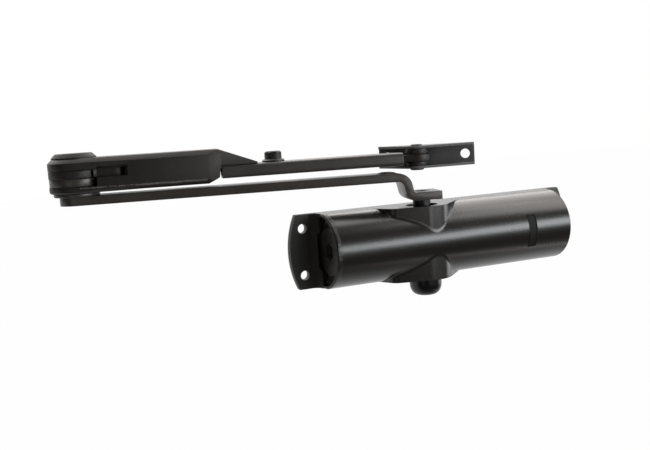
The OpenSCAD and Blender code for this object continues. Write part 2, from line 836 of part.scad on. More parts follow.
module spring_adjuster() color("#8c8c90") {
    start = spring_seat_x - spring_hub_l - adjuster_lead;
    along_x(start, -bore_out, 0) difference() {
        union() {
            cylinder(d = adjuster_d, h = plug_outer - start - adjuster_sunk);
            translate([0, 0, plug_inner - start])
                cylinder(r = adjuster_collar_r, h = adjuster_collar_l);
        }
        translate([0, 0, plug_outer - start - adjuster_socket_l])
            hex_socket(adjuster_d / 2, adjuster_socket_l);
    }
}

// Side view of the main arm: its foot, the double bend and the bar, from the pinion axis
module main_arm_profile() {
    lower = [bend_start, foot_top + bend_inner_r];
    upper = [bend_start + bend_l, arm_z - bend_outer_r];
    steps = [for (i = [0 : bend_steps]) bend_tilt * i / bend_steps];
    polygon(concat(
        [[-foot_reach, foot_top], [-foot_reach, foot_z]],
        [for (a = steps) lower + circle_point(bend_inner_r + arm_t, a - 90)],
        [for (a = steps) upper + circle_point(bend_outer_r, 90 + bend_tilt - a)],
        [[arm_l, arm_z], [arm_l, arm_top]],
        [for (a = steps) upper + circle_point(bend_outer_r + arm_t, 90 + a)],
        [for (a = steps) lower + circle_point(bend_inner_r, bend_tilt - 90 - a)]));
}

module main_arm() color("#2b2b2e") {
    hole_w = square_w + 2 * seat_play;
    in_arm_frame() difference() {
        union() {
            translate([0, arm_w / 2, 0]) rotate([90, 0, 0])
                linear_extrude(arm_w) main_arm_profile();
            translate([arm_l, 0, arm_z]) cylinder(d = arm_w, h = arm_t);
        }
        translate([-hole_w / 2, -hole_w / 2, foot_z - 1]) cube([hole_w, hole_w, arm_t + 2]);
        translate([0, 0, square_top]) cylinder(d = arm_screw_head_d + arm_screw_gap, h = foot_top);
        translate([arm_l, 0, arm_z - 1]) cylinder(r = elbow_pin_r + seat_play, h = arm_t + 2);
    }
}

module arm_screw() color("#1c1c1e") {
    translate(pinion_at + [0, 0, square_top]) difference() {
        union() {
            cylinder(d = arm_screw_head_d, h = arm_screw_head_h);
            translate([0, 0, -arm_screw_l + 1]) cylinder(r = arm_screw_r, h = arm_screw_l);
        }
        translate([0, 0, arm_screw_head_h - arm_screw_socket_l])
            hex_socket(arm_screw_socket, arm_screw_socket_l + 1);
    }
}

module elbow_pin() color("#2b2b2e") {
    translate(elbow_at + [0, 0, arm_z]) cylinder(r = elbow_pin_r, h = cap_z + pin_in_cap - arm_z);
}

module elbow_spacer() color("#2b2b2e") {
    translate(elbow_at + [0, 0, spacer_z])
        disc_ring(elbow_spacer_d / 2, elbow_pin_r + seat_play, elbow_spacer_t);
}

module elbow_ring() color("#2b2b2e") {
    translate(elbow_at + [0, 0, ring_z])
        disc_ring(elbow_r - elbow_ring_in, elbow_pin_r + seat_play, ring_t);
}

// Cam disc, full size between its two steps and low where the roller runs, with a notch
module hold_open_cam() color("#2b2b2e") {
    full_to = cam_step_start + 360;
    in_forearm_frame() translate([0, 0, cam_z]) linear_extrude(cam_t) difference() {
        union() {
            circle(r = cam_low_r, $fn = 96);
            intersection() {
                circle(r = elbow_r, $fn = 96);
                polygon(concat([[0, 0]], [for (i = [0 : 4])
                    circle_point(2 * elbow_r, cam_step_end + (full_to - cam_step_end) * i / 4)]));
            }
        }
        circle(r = elbow_pin_r + seat_play);
        rotate(cam_notch_at) translate([roller_at - cam_notch_depth, 0])
            circle(r = roller_r + roller_gap);
    }
}

module elbow_cap() color("#2b2b2e") {
    translate(elbow_at + [0, 0, cap_z]) difference() {
        chamfered_disc(elbow_cap_d / 2, elbow_cap_h, cap_edge, elbow_cap_h - 2 * cap_edge);
        translate([0, 0, -eps]) cylinder(r = elbow_pin_r + seat_play, h = pin_in_cap + seat_play);
    }
}

// Outside of the hold-open housing, from the elbow to the tip of its roof
module housing_outside() {
    low = [0, 0, housing_z];
    height = housing_top - housing_z;
    half_w = housing_w / 2;
    hull() {
        translate(low) chamfered_disc(elbow_r, height, housing_low_chamfer,
            housing_top_chamfer, $fn = 64);
        translate([housing_shoulder, 0, 0]) rotate([90, 0, 90]) linear_extrude(1)
            housing_section();
    }
    intersection() {
        translate([housing_shoulder, 0, 0]) rotate([90, 0, 90])
            linear_extrude(roof_tip - housing_shoulder) housing_section();
        translate([0, elbow_r, 0]) rotate([90, 0, 0]) linear_extrude(elbow_d) polygon([
            [0, housing_z], [housing_l, housing_z],
            [tube_start - floor_tip_in, tube_z + floor_tip_rise],
            [tube_start - tube_hold, tube_top], [roof_tip, tube_top],
            [roof_tip, tube_top + roof_lip], [housing_l + roof_slope_l, housing_top],
            [0, housing_top]]);
        translate([0, 0, housing_z]) linear_extrude(height) polygon([
            [0, -half_w], [housing_l, -half_w], [tube_start, -tube_w / 2 - tube_hold],
            [roof_tip, tip_narrow - tube_w / 2], [roof_tip, tube_w / 2 - tip_narrow],
            [tube_start, tube_w / 2 + tube_hold], [housing_l, half_w], [0, half_w]]);
    }
}

module housing_section() {
    half_w = housing_w / 2;
    flat_w = half_w - housing_chamfer;
    polygon([[-flat_w, housing_z], [flat_w, housing_z], [half_w, housing_z + housing_chamfer],
        [half_w, housing_top - housing_chamfer], [flat_w, housing_top], [-flat_w, housing_top],
        [-half_w, housing_top - housing_chamfer], [-half_w, housing_z + housing_chamfer]]);
}

module hold_open_housing() color("#2b2b2e") {
    inside_w = housing_w - 2 * housing_wall;
    in_forearm_frame() difference() {
        housing_outside();
        translate([-elbow_d, -elbow_d, ring_z - face_gap])
            cube([elbow_d + wall_start, 2 * elbow_d, roof_z - ring_z + face_gap]);
        translate([wall_start - eps, -inside_w / 2, housing_z + floor_in])
            cube([stop_at + stop_t - wall_start, inside_w, housing_top - roof_in - housing_z - floor_in]);
        translate([wall_start - eps, -housing_w, cam_z + window_low])
            cube([window_end - wall_start, housing_w, roof_z + window_high - cam_z]);
        translate([0, 0, housing_z - 1])
            cylinder(r = elbow_pin_r + shaft_play, h = housing_top - housing_z + 2);
    }
}

module roller_carrier() color("#505054") {
    plate_start = roller_at - roller_pin_d / 2 - fork_reach;
    low = cam_z - face_gap - fork_t;
    high = cam_z + cam_t + face_gap;
    in_forearm_frame() difference() {
        union() {
            for (z = [low, high])
                translate([plate_start, -fork_w / 2, z])
                    cube([fork_block_at + eps - plate_start, fork_w, fork_t]);
            translate([fork_block_at, -fork_w / 2, low])
                cube([fork_block_l, fork_w, high + fork_t - low]);
        }
        translate([roller_at, 0, low - 1])
            cylinder(r = roller_pin_d / 2 + seat_play, h = high - low + fork_t + 2);
    }
}

module roller_pin() color("#8c8c90") {
    low = cam_z - face_gap - fork_t;
    in_forearm_frame() translate([roller_at, 0, low])
        cylinder(d = roller_pin_d, h = cam_t + 2 * face_gap + 2 * fork_t);
}

module roller() color("#3a3a3e") {
    in_forearm_frame() translate([roller_at, 0, cam_z + roller_side_gap])
        disc_ring(roller_r, roller_pin_d / 2 + shaft_play, cam_t - 2 * roller_side_gap);
}

module hold_open_spring() color("#6c6c70") {
    start = fork_block_at + fork_block_l;
    in_forearm_frame() along_x(start, 0, cam_z + cam_t / 2)
        coil(detent_spring_d, detent_wire, stop_at - start, 8, 16, 6);
}

module spring_stop() color("#505054") {
    inside_w = housing_w - 2 * housing_wall - 2 * seat_play;
    in_forearm_frame() translate([stop_at, -inside_w / 2, housing_z + floor_in + seat_play])
        cube([stop_t - seat_play, inside_w, housing_top - roof_in - housing_z - floor_in - 2 * seat_play]);
}

module forearm_tube() color("#2b2b2e") {
    in_forearm_frame() difference() {
        translate([tube_start, 0, tube_z + tube_h / 2]) rotate([90, 0, 90])
            linear_extrude(tube_end - tube_start) difference() {
                rounded_rect(tube_w, tube_h, tube_r);
                rounded_rect(tube_w - 2 * tube_wall, tube_h - 2 * tube_wall, tube_inner_r);
            }
        translate([clamp_bolt_at, 0, tube_z - 1])
            cylinder(r = clamp_bolt_d / 2 + seat_play, h = tube_h + 2);
    }
}

module clamp_bolt() color("#1c1c1e") {
    in_forearm_frame() translate([clamp_bolt_at, 0, 0]) {
        translate([0, 0, tube_z + clamp_bolt_up]) cylinder(d = clamp_bolt_d, h = tube_h);
        translate([0, 0, tube_top])
            chamfered_disc(clamp_flange_d / 2, clamp_flange_h, clamp_edge, clamp_flange_chamfer);
        intersection() {
            translate([0, 0, tube_top]) hex_socket(clamp_bolt_flats, clamp_flange_h + clamp_head_h);
            translate([0, 0, tube_top])
                chamfered_disc(clamp_bolt_flats / 2 + clamp_head_w, clamp_flange_h + clamp_head_h,
                    clamp_edge, clamp_head_chamfer);
        }
    }
}

module forearm_rod() color("#2b2b2e") {
    slot_r = clamp_bolt_d / 2 + bolt_slot_gap;
    in_forearm_frame() translate([0, 0, rod_z]) difference() {
        union() {
            translate([rod_start, -rod_w / 2, 0]) cube([forearm_l - rod_start, rod_w, rod_t]);
            translate([forearm_l, 0, 0]) cylinder(d = eye_d, h = rod_t);
        }
        for (x = [clamp_bolt_at - rod_out, clamp_bolt_at + rod_in])
            translate([x, 0, -1]) cylinder(r = slot_r, h = rod_t + 2);
        translate([clamp_bolt_at - rod_out, -slot_r, -1])
            cube([rod_out + rod_in, 2 * slot_r, rod_t + 2]);
        translate([forearm_l, 0, -1]) cylinder(r = shoe_pin_d / 2 + shaft_play, h = rod_t + 2);
    }
}

// Plan of the shoe: a round nose at the pin with sides that widen to the web
module shoe_plan() {
    left = [-shoe_left, shoe_depth - shoe_lip];
    right = [shoe_right, shoe_depth - shoe_lip];
    touch_r = shoe_nose_r - tangent_dip;
    left_touch = circle_point(touch_r, tangent_direction(touch_r, left, 1));
    right_touch = circle_point(touch_r, tangent_direction(touch_r, right, -1));
    circle(r = shoe_nose_r);
    polygon([left, left_touch, right_touch, right,
        [shoe_right, shoe_depth], [-shoe_left, shoe_depth]]);
}

module shoe() color("#2b2b2e") {
    in_shoe_frame() difference() {
        translate([0, 0, shoe_z]) linear_extrude(shoe_h) shoe_plan();
        translate([-shoe_left - 1, -2 * shoe_nose_r, shoe_z + shoe_t])
            cube([shoe_left + shoe_right + 2, 2 * shoe_nose_r + shoe_web_y,
                shoe_h - 2 * shoe_t]);
        translate([0, 0, shoe_z - 1]) cylinder(r = shoe_pin_d / 2 + seat_play, h = shoe_h + 2);
        for (x = [-shoe_left + shoe_hole_in, shoe_right - shoe_hole_in])
            translate([x, shoe_web_y - 1, shoe_z + shoe_h / 2]) rotate([-90, 0, 0])
                cylinder(d = shoe_hole_d, h = shoe_t + 2);
    }
}

module shoe_pin() color("#1c1c1e") {
    translate([shoe_at[0], shoe_at[1], shoe_z]) {
        cylinder(d = shoe_pin_d, h = shoe_h);
        translate([0, 0, -rivet_head_h])
            chamfered_disc(rivet_head_d / 2, rivet_head_h, rivet_chamfer, pin_edge);
        translate([0, 0, shoe_h])
            chamfered_disc(shoe_pin_d / 2 + pin_head_w, pin_head_h, pin_edge, pin_head_chamfer);
    }
}

module upper_spacer() color("#2b2b2e") {
    low = rod_z + rod_t + spacer_gap;
    translate([shoe_at[0], shoe_at[1], low])
        disc_ring(upper_spacer_d / 2, shoe_pin_d / 2 + seat_play, shoe_top - shoe_t - low);
}

module lower_spacer() color("#2b2b2e") {
    low = shoe_z + shoe_t;
    translate([shoe_at[0], shoe_at[1], low])
        disc_ring(lower_spacer_d / 2, shoe_pin_d / 2 + seat_play, rod_z - spacer_gap - low);
}

body_casting();
left_end_plug();
right_end_plug();
end_plug_seals();
upper_bearing();
lower_bearing();
shaft_seal();
gland_nut();
bottom_cap();
sweep_valve();
latch_valve();
pinion();
piston();
piston_rings();
check_ball();
check_retainer();
spring_washer();
outer_spring();
inner_spring();
spring_seat();
spring_adjuster();
main_arm();
arm_screw();
elbow_pin();
elbow_spacer();
elbow_ring();
hold_open_cam();
elbow_cap();
hold_open_housing();
roller_carrier();
roller_pin();
roller();
hold_open_spring();
spring_stop();
forearm_tube();
clamp_bolt();
forearm_rod();
shoe();
shoe_pin();
upper_spacer();
lower_spacer();
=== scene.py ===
"""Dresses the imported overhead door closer: finishes, softened edges, small pieces, light and camera."""
import logging
import math
import random
from dataclasses import dataclass
from enum import Enum
from typing import Any, ClassVar, Iterable, Sequence, Union

import bpy
from mathutils import Matrix, Vector


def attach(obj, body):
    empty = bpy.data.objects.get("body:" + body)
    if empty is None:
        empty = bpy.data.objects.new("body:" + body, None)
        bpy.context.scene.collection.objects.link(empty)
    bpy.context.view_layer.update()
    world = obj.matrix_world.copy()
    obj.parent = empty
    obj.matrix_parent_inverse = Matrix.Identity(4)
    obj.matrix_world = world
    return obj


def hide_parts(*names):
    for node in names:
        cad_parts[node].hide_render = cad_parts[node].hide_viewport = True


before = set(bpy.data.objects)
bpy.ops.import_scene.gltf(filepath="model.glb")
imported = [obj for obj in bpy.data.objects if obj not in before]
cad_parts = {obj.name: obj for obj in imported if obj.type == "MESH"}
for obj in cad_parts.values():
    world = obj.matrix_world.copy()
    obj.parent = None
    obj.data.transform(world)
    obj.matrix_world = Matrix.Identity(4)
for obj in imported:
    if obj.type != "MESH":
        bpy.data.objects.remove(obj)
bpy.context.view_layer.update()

# Lengths are in millimetres and angles in degrees, where nothing else is said
MM = 0.001
LOG = logging.getLogger("door_closer")

Number = Union[float, "Signal"]
Pair = tuple[float, float]
Triple = tuple[float, float, float]
Colour = Triple


class Grain(Enum):
    """How a surface was made, which sets the form of its small relief."""

    SPRAYED = ((1.0, 1.0, 1.0), 1100.0)
    CAST = ((1.0, 1.0, 1.0), 620.0)
    DRAWN = ((0.06, 1.0, 1.0), 1800.0)
    TURNED = ((1.0, 1.0, 0.08), 1500.0)
    MOULDED = ((1.0, 1.0, 1.0), 700.0)

    def __init__(self, stretch: Triple, waves: float) -> None:
        """Keeps the relief's scale along each axis and its waves per metre."""
        self.stretch = stretch
        self.waves = waves


class Signal:
    """A number that a shader node puts out, with Python's operators on it."""

    def __init__(self, shader: "Shader", socket: bpy.types.NodeSocket) -> None:
        """Keeps the shader and the socket that the number comes from."""
        self.shader = shader
        self.socket = socket

    def _combine(self, operation: str, first: Number, second: Number, clamp: bool = False) -> "Signal":
        """Adds a Math node.

        Args:
            operation: Name of the Math node's operation.
            first: Its first value.
            second: Its second value.
            clamp: Whether the result stays from 0 to 1.

        Returns:
            The node's result.
        """
        node = self.shader.node("ShaderNodeMath", {"operation": operation, "use_clamp": clamp},
                                {0: first, 1: second})
        return Signal(self.shader, node.outputs[0])

    def __add__(self, other: Number) -> "Signal":
        """This number plus another."""
        return self._combine("ADD", self, other)

    def __radd__(self, other: Number) -> "Signal":
        """Another number plus this one."""
        return self._combine("ADD", other, self)

    def __sub__(self, other: Number) -> "Signal":
        """This number less another."""
        return self._combine("SUBTRACT", self, other)

    def __rsub__(self, other: Number) -> "Signal":
        """Another number less this one."""
        return self._combine("SUBTRACT", other, self)

    def __mul__(self, other: Number) -> "Signal":
        """This number times another."""
        return self._combine("MULTIPLY", self, other)

    def __rmul__(self, other: Number) -> "Signal":
        """Another number times this one."""
        return self._combine("MULTIPLY", other, self)

    def clamped(self) -> "Signal":
        """This number held from 0 to 1."""
        return self._combine("ADD", self, 0.0, clamp=True)

    def below(self, limit: float, blend: float) -> "Signal":
        """A mask that falls from 1 to 0.

        Args:
            limit: Where the mask reaches 0.
            blend: Width over which it falls.

        Returns:
            The mask.
        """
        return self._combine("MULTIPLY", limit - self, 1.0 / blend, clamp=True)


class Shader:
    """The node tree of a material or a world, and the one method that adds nodes to it."""

    NOISE_ROUGHNESS = 0.55

    def __init__(self, owner: bpy.types.Material | bpy.types.World) -> None:
        """Empties the owner's node tree."""
        self.owner = owner
        owner.use_nodes = True
        self.tree = owner.node_tree
        self.tree.nodes.clear()

    def node(self, kind: str, settings: dict[str, Any] | None = None,
             inputs: dict[str | int, Any] | None = None) -> bpy.types.Node:
        """Adds one node.

        Args:
            kind: The node's type.
            settings: Its properties, which are set first.
            inputs: Values, signals or sockets for its inputs, by name or index.

        Returns:
            The new node.
        """
        node = self.tree.nodes.new(kind)
        for name, value in (settings or {}).items():
            setattr(node, name, value)
        for name, value in (inputs or {}).items():
            if isinstance(value, Signal):
                value = value.socket
            if isinstance(value, bpy.types.NodeSocket):
                self.tree.links.new(value, node.inputs[name])
            else:
                node.inputs[name].default_value = value
        return node

    def noise(self, coordinates: bpy.types.NodeSocket, scale: float, detail: float) -> Signal:
        """Smooth noise about 0.5.

        Args:
            coordinates: Where the pattern is read.
            scale: Waves per metre.
            detail: Number of finer layers.

        Returns:
            The noise.
        """
        node = self.node("ShaderNodeTexNoise", None,
                         {"Vector": coordinates, "Scale": scale, "Detail": detail,
                          "Roughness": self.NOISE_ROUGHNESS})
        return Signal(self, node.outputs[0])

    def axes(self, place: bpy.types.NodeSocket) -> tuple[Signal, ...]:
        """The x, y and z of a place or a direction."""
        node = self.node("ShaderNodeSeparateXYZ", None, {0: place})
        return tuple(Signal(self, socket) for socket in node.outputs)

    def mix(self, share: Signal, first: Colour, second: Colour) -> bpy.types.NodeSocket:
        """Blends two colours.

        Args:
            share: How much of the second colour shows.
            first: The first colour.
            second: The second colour.

        Returns:
            The blended colour.
        """
        node = self.node("ShaderNodeMix", {"data_type": "RGBA"},
                         {0: share, 6: (*first, 1.0), 7: (*second, 1.0)})
        return node.outputs[2]


@dataclass(frozen=True)
class Finish:
    """One finish of the closer's pieces.

    Attributes:
        name: Name of its material.
        colour: Its colour where it is sound.
        worn: Its colour where it is worn.
        roughness: Its middle roughness.
        metallic: From 0 for paint and rubber to 1 for bare metal.
        coat: Weight of the clear coat.
        specular: Strength of the plain reflection.
        grain: How the surface was made.
        relief: Height of the small relief.
        edge_radius: Rounding that the shader gives to sharp edges.
        patchy: How far the roughness changes from patch to patch.
        matte_roughness: Roughness that is added in matte places.
    """

    PATCHES: ClassVar[Pair] = (38.0, 4.0)
    SPECKS: ClassVar[Pair] = (420.0, 2.0)
    PATCH_WEAR: ClassVar[float] = 1.6
    SPECK_WEAR: ClassVar[float] = 0.9
    SPECK_ROUGHNESS: ClassVar[float] = 0.7
    RELIEF_DETAIL: ClassVar[float] = 2.0
    FINE_SHARE: ClassVar[float] = 0.55
    BROAD_WAVES: ClassVar[float] = 0.13
    COAT_ROUGHNESS: ClassVar[float] = 0.25
    EDGE_SAMPLES: ClassVar[int] = 4

    name: str
    colour: Colour
    worn: Colour
    roughness: float
    metallic: float = 0.0
    coat: float = 0.0
    specular: float = 0.5
    grain: Grain = Grain.SPRAYED
    relief: float = 0.02
    edge_radius: float = 0.5
    patchy: float = 0.06
    matte_roughness: float = 0.3

    def relief_height(self, shader: Shader, coordinates: bpy.types.NodeSocket) -> Signal:
        """Height of the small relief, from 0 to 1.

        Args:
            shader: The material being made.
            coordinates: Object coordinates.

        Returns:
            The height.
        """
        mapping = shader.node("ShaderNodeMapping", None,
                              {"Vector": coordinates, "Scale": self.grain.stretch})
        place = mapping.outputs[0]
        fine = shader.noise(place, self.grain.waves, self.RELIEF_DETAIL)
        broad = shader.noise(place, self.grain.waves * self.BROAD_WAVES, self.RELIEF_DETAIL)
        return fine * self.FINE_SHARE + broad * (1.0 - self.FINE_SHARE)

    def matte_share(self, shader: Shader, coordinates: bpy.types.NodeSocket) -> Number:
        """How much of the matte variant shows; none, where a finish has no matte places.

        Args:
            shader: The material being made.
            coordinates: Object coordinates.

        Returns:
            The share, from 0 to 1.
        """
        return 0.0

    def material(self) -> bpy.types.Material:
        """Makes the finish's material."""
        shader = Shader(bpy.data.materials.new(self.name))
        coordinates = shader.node("ShaderNodeTexCoord").outputs["Object"]
        patches = shader.noise(coordinates, *self.PATCHES) - 0.5
        specks = shader.noise(coordinates, *self.SPECKS) - 0.5
        wear = (patches * self.PATCH_WEAR + specks * self.SPECK_WEAR + 0.5).clamped()
        height = self.relief_height(shader, coordinates)
        soft_edge = shader.node("ShaderNodeBevel", {"samples": self.EDGE_SAMPLES},
                                {"Radius": self.edge_radius * MM})
        bump = shader.node("ShaderNodeBump", None,
                           {"Strength": 1.0, "Distance": self.relief * MM, "Height": height,
                            "Normal": soft_edge.outputs[0]})
        matte = self.matte_share(shader, coordinates)
        unevenness = patches * self.patchy + specks * (self.patchy * self.SPECK_ROUGHNESS)
        surface = shader.node("ShaderNodeBsdfPrincipled", None, {
            "Base Color": shader.mix(wear, self.colour, self.worn),
            "Roughness": unevenness + self.roughness + matte * self.matte_roughness,
            "Metallic": self.metallic,
            "Specular IOR Level": self.specular,
            "Coat Weight": self.coat - matte * self.coat,
            "Coat Roughness": self.COAT_ROUGHNESS,
            "Normal": bump.outputs[0]})
        shader.node("ShaderNodeOutputMaterial", None, {"Surface": surface.outputs[0]})
        return shader.owner


@dataclass(frozen=True)
class RecessedCasting(Finish):
    """Paint on a casting that is left rough in the recess of its left end.

    Attributes:
        recess_x: Where the recess is, along x.
        recess_reach: How far the roughness reaches to the left and to the right of that.
        recess_y: Where the roughness starts, in front of the back plate.
        recess_blend: Width over which it fades, along x and along y.
        recess_relief: Height of its lumps.
        lumps: Waves per metre and finer layers of the lumps.
        matte_ends: Where the matte place ends, along x and along y.
        matte_blend: Width over which it fades, along x and along y.
    """

    recess_x: float = -79.4
    recess_reach: Pair = (2.2, 2.6)
    recess_y: float = -12.2
    recess_blend: Pair = (0.2, 0.3)
    recess_relief: float = 0.9
    lumps: Pair = (260.0, 5.0)
    matte_ends: Pair = (-79.6, -0.3)
    matte_blend: Pair = (0.3, 1.5)

    def relief_height(self, shader: Shader, coordinates: bpy.types.NodeSocket) -> Signal:
        """Height of the small relief, with coarse lumps in the recess.

        Args:
            shader: The material being made.
            coordinates: Object coordinates.

        Returns:
            The height, in parts of the finish's relief.
        """
        fine = super().relief_height(shader, coordinates)
        along, back, _ = shader.axes(coordinates)
        left, right = self.recess_reach
        blend_x, blend_y = self.recess_blend
        in_recess = (along.below((self.recess_x + right) * MM, blend_x * MM)
                     * back.below(self.recess_y * MM, blend_y * MM)
                     * (1.0 - along.below((self.recess_x - left) * MM, blend_x * MM)))
        lumps = shader.noise(coordinates, *self.lumps)
        return fine + in_recess * lumps * (self.recess_relief / self.relief)

    def matte_share(self, shader: Shader, coordinates: bpy.types.NodeSocket) -> Number:
        """Matte on the left flange and its fillet, where the paint lies thin.

        Args:
            shader: The material being made.
            coordinates: Object coordinates.

        Returns:
            The share, from 0 to 1.
        """
        along, back, _ = shader.axes(coordinates)
        end_x, end_y = self.matte_ends
        blend_x, blend_y = self.matte_blend
        return along.below(end_x * MM, blend_x * MM) * back.below(end_y * MM, blend_y * MM)


CAST_PAINT = RecessedCasting("cast_paint", (0.0076, 0.0065, 0.0058), (0.0114, 0.0098, 0.0087), 0.27,
                             coat=0.15, grain=Grain.CAST, relief=0.0015, edge_radius=0.45, patchy=0.02)
ARM_PAINT = Finish("arm_paint", (0.0455, 0.0393, 0.0346), (0.0600, 0.0522, 0.0458), 0.32,
                   specular=0.5, relief=0.014, edge_radius=0.35, patchy=0.09)
TUBE_PAINT = Finish("tube_paint", (0.0600, 0.0550, 0.0525), (0.0760, 0.0700, 0.0665), 0.30,
                    specular=0.35, relief=0.014, edge_radius=1.5, patchy=0.09)
# Painted light: the shoe's paint is the arms' dark paint made lighter and cooler, standing in for light
# on the shaded web under the shoe's top flange
SHOE_PAINT_WITH_PAINTED_LIGHT = Finish("shoe_paint", (0.126, 0.1268, 0.1300), (0.150, 0.1500, 0.1535), 0.36,
                    specular=0.2, relief=0.012, edge_radius=0.35, patchy=0.09)
HOUSING_PAINT = Finish("housing_paint", (0.0180, 0.0156, 0.0138), (0.0260, 0.0226, 0.0198), 0.46,
                       specular=0.36, grain=Grain.CAST, relief=0.06, edge_radius=0.7, patchy=0.12)
ELBOW_CAP_PAINT = Finish("elbow_cap_paint", (0.0130, 0.0115, 0.0104), (0.0190, 0.0168, 0.0150), 0.56,
                         specular=0.3, grain=Grain.CAST, relief=0.03, edge_radius=0.5)
PLUG_PAINT = Finish("plug_paint", (0.024, 0.0215, 0.0195), (0.095, 0.086, 0.077), 0.42,
                    grain=Grain.CAST, relief=0.35, edge_radius=0.3, patchy=0.14)
FLASH_PAINT = Finish("flash_paint", (0.035, 0.032, 0.029), (0.220, 0.205, 0.190), 0.36,
                     grain=Grain.CAST, relief=0.12, edge_radius=0.1, patchy=0.14)
STRIP_PAINT = Finish("strip_paint", (0.005, 0.005, 0.005), (0.008, 0.0075, 0.007), 0.6,
                     specular=0.2, grain=Grain.CAST, relief=0.03, edge_radius=0.2)
CAP_PAINT = Finish("cap_paint", (0.004, 0.004, 0.004), (0.006, 0.006, 0.006), 0.24,
                   specular=0.35, relief=0.008, edge_radius=0.4)
BLACK_SCREW = Finish("black_screw", (0.010, 0.0098, 0.0098), (0.016, 0.015, 0.014), 0.42,
                     metallic=0.25, grain=Grain.TURNED, relief=0.01, edge_radius=0.25)
MACHINED_IRON = Finish("machined_iron", (0.05, 0.05, 0.052), (0.09, 0.088, 0.085), 0.5,
                       metallic=0.8, grain=Grain.TURNED, relief=0.012, edge_radius=0.2)
OILED_STEEL = Finish("oiled_steel", (0.34, 0.34, 0.345), (0.24, 0.235, 0.23), 0.3,
                     metallic=1.0, coat=0.2, grain=Grain.TURNED, relief=0.008, edge_radius=0.2)
BLUED_STEEL = Finish("blued_steel", (0.022, 0.022, 0.024), (0.034, 0.033, 0.033), 0.36,
                     metallic=0.9, grain=Grain.TURNED, relief=0.006, edge_radius=0.3)
SPRING_WIRE = Finish("spring_wire", (0.12, 0.12, 0.125), (0.2, 0.19, 0.18), 0.36,
                     metallic=1.0, grain=Grain.DRAWN, relief=0.01, edge_radius=0.1)
TURNED_BRASS = Finish("turned_brass", (0.55, 0.39, 0.15), (0.42, 0.29, 0.11), 0.32,
                      metallic=1.0, grain=Grain.TURNED, relief=0.008, edge_radius=0.15)
BEARING_BRONZE = Finish("bearing_bronze", (0.34, 0.2, 0.09), (0.24, 0.14, 0.07), 0.42,
                        metallic=1.0, grain=Grain.TURNED, relief=0.012, edge_radius=0.15)
SEAL_RUBBER = Finish("seal_rubber", (0.012, 0.012, 0.012), (0.02, 0.02, 0.02), 0.62,
                     grain=Grain.MOULDED, relief=0.02, edge_radius=0.2)

# Each finish with the CAD nodes that it is on
FINISHES: dict[Finish, tuple[str, ...]] = {
    CAST_PAINT: ("body_casting", "gland_nut"),
    CAP_PAINT: ("bottom_cap",),
    PLUG_PAINT: ("left_end_plug",),
    FLASH_PAINT: (),
    ARM_PAINT: ("main_arm", "elbow_pin", "elbow_spacer", "elbow_ring"),
    TUBE_PAINT: ("forearm_tube",),
    SHOE_PAINT_WITH_PAINTED_LIGHT: ("shoe",),
    STRIP_PAINT: (),
    HOUSING_PAINT: ("hold_open_housing", "hold_open_cam", "roller_carrier", "forearm_rod",
                    "upper_spacer", "lower_spacer"),
    ELBOW_CAP_PAINT: ("elbow_cap",),
    BLACK_SCREW: ("arm_screw", "clamp_bolt", "shoe_pin"),
    BLUED_STEEL: ("roller", "roller_pin", "pinion"),
    MACHINED_IRON: ("right_end_plug", "piston", "piston_rings"),
    OILED_STEEL: ("check_ball", "spring_washer", "spring_seat", "spring_adjuster",
                  "spring_stop"),
    SPRING_WIRE: ("outer_spring", "inner_spring", "hold_open_spring"),
    TURNED_BRASS: ("sweep_valve", "latch_valve", "check_retainer"),
    BEARING_BRONZE: ("upper_bearing", "lower_bearing"),
    SEAL_RUBBER: ("end_plug_seals", "shaft_seal"),
}


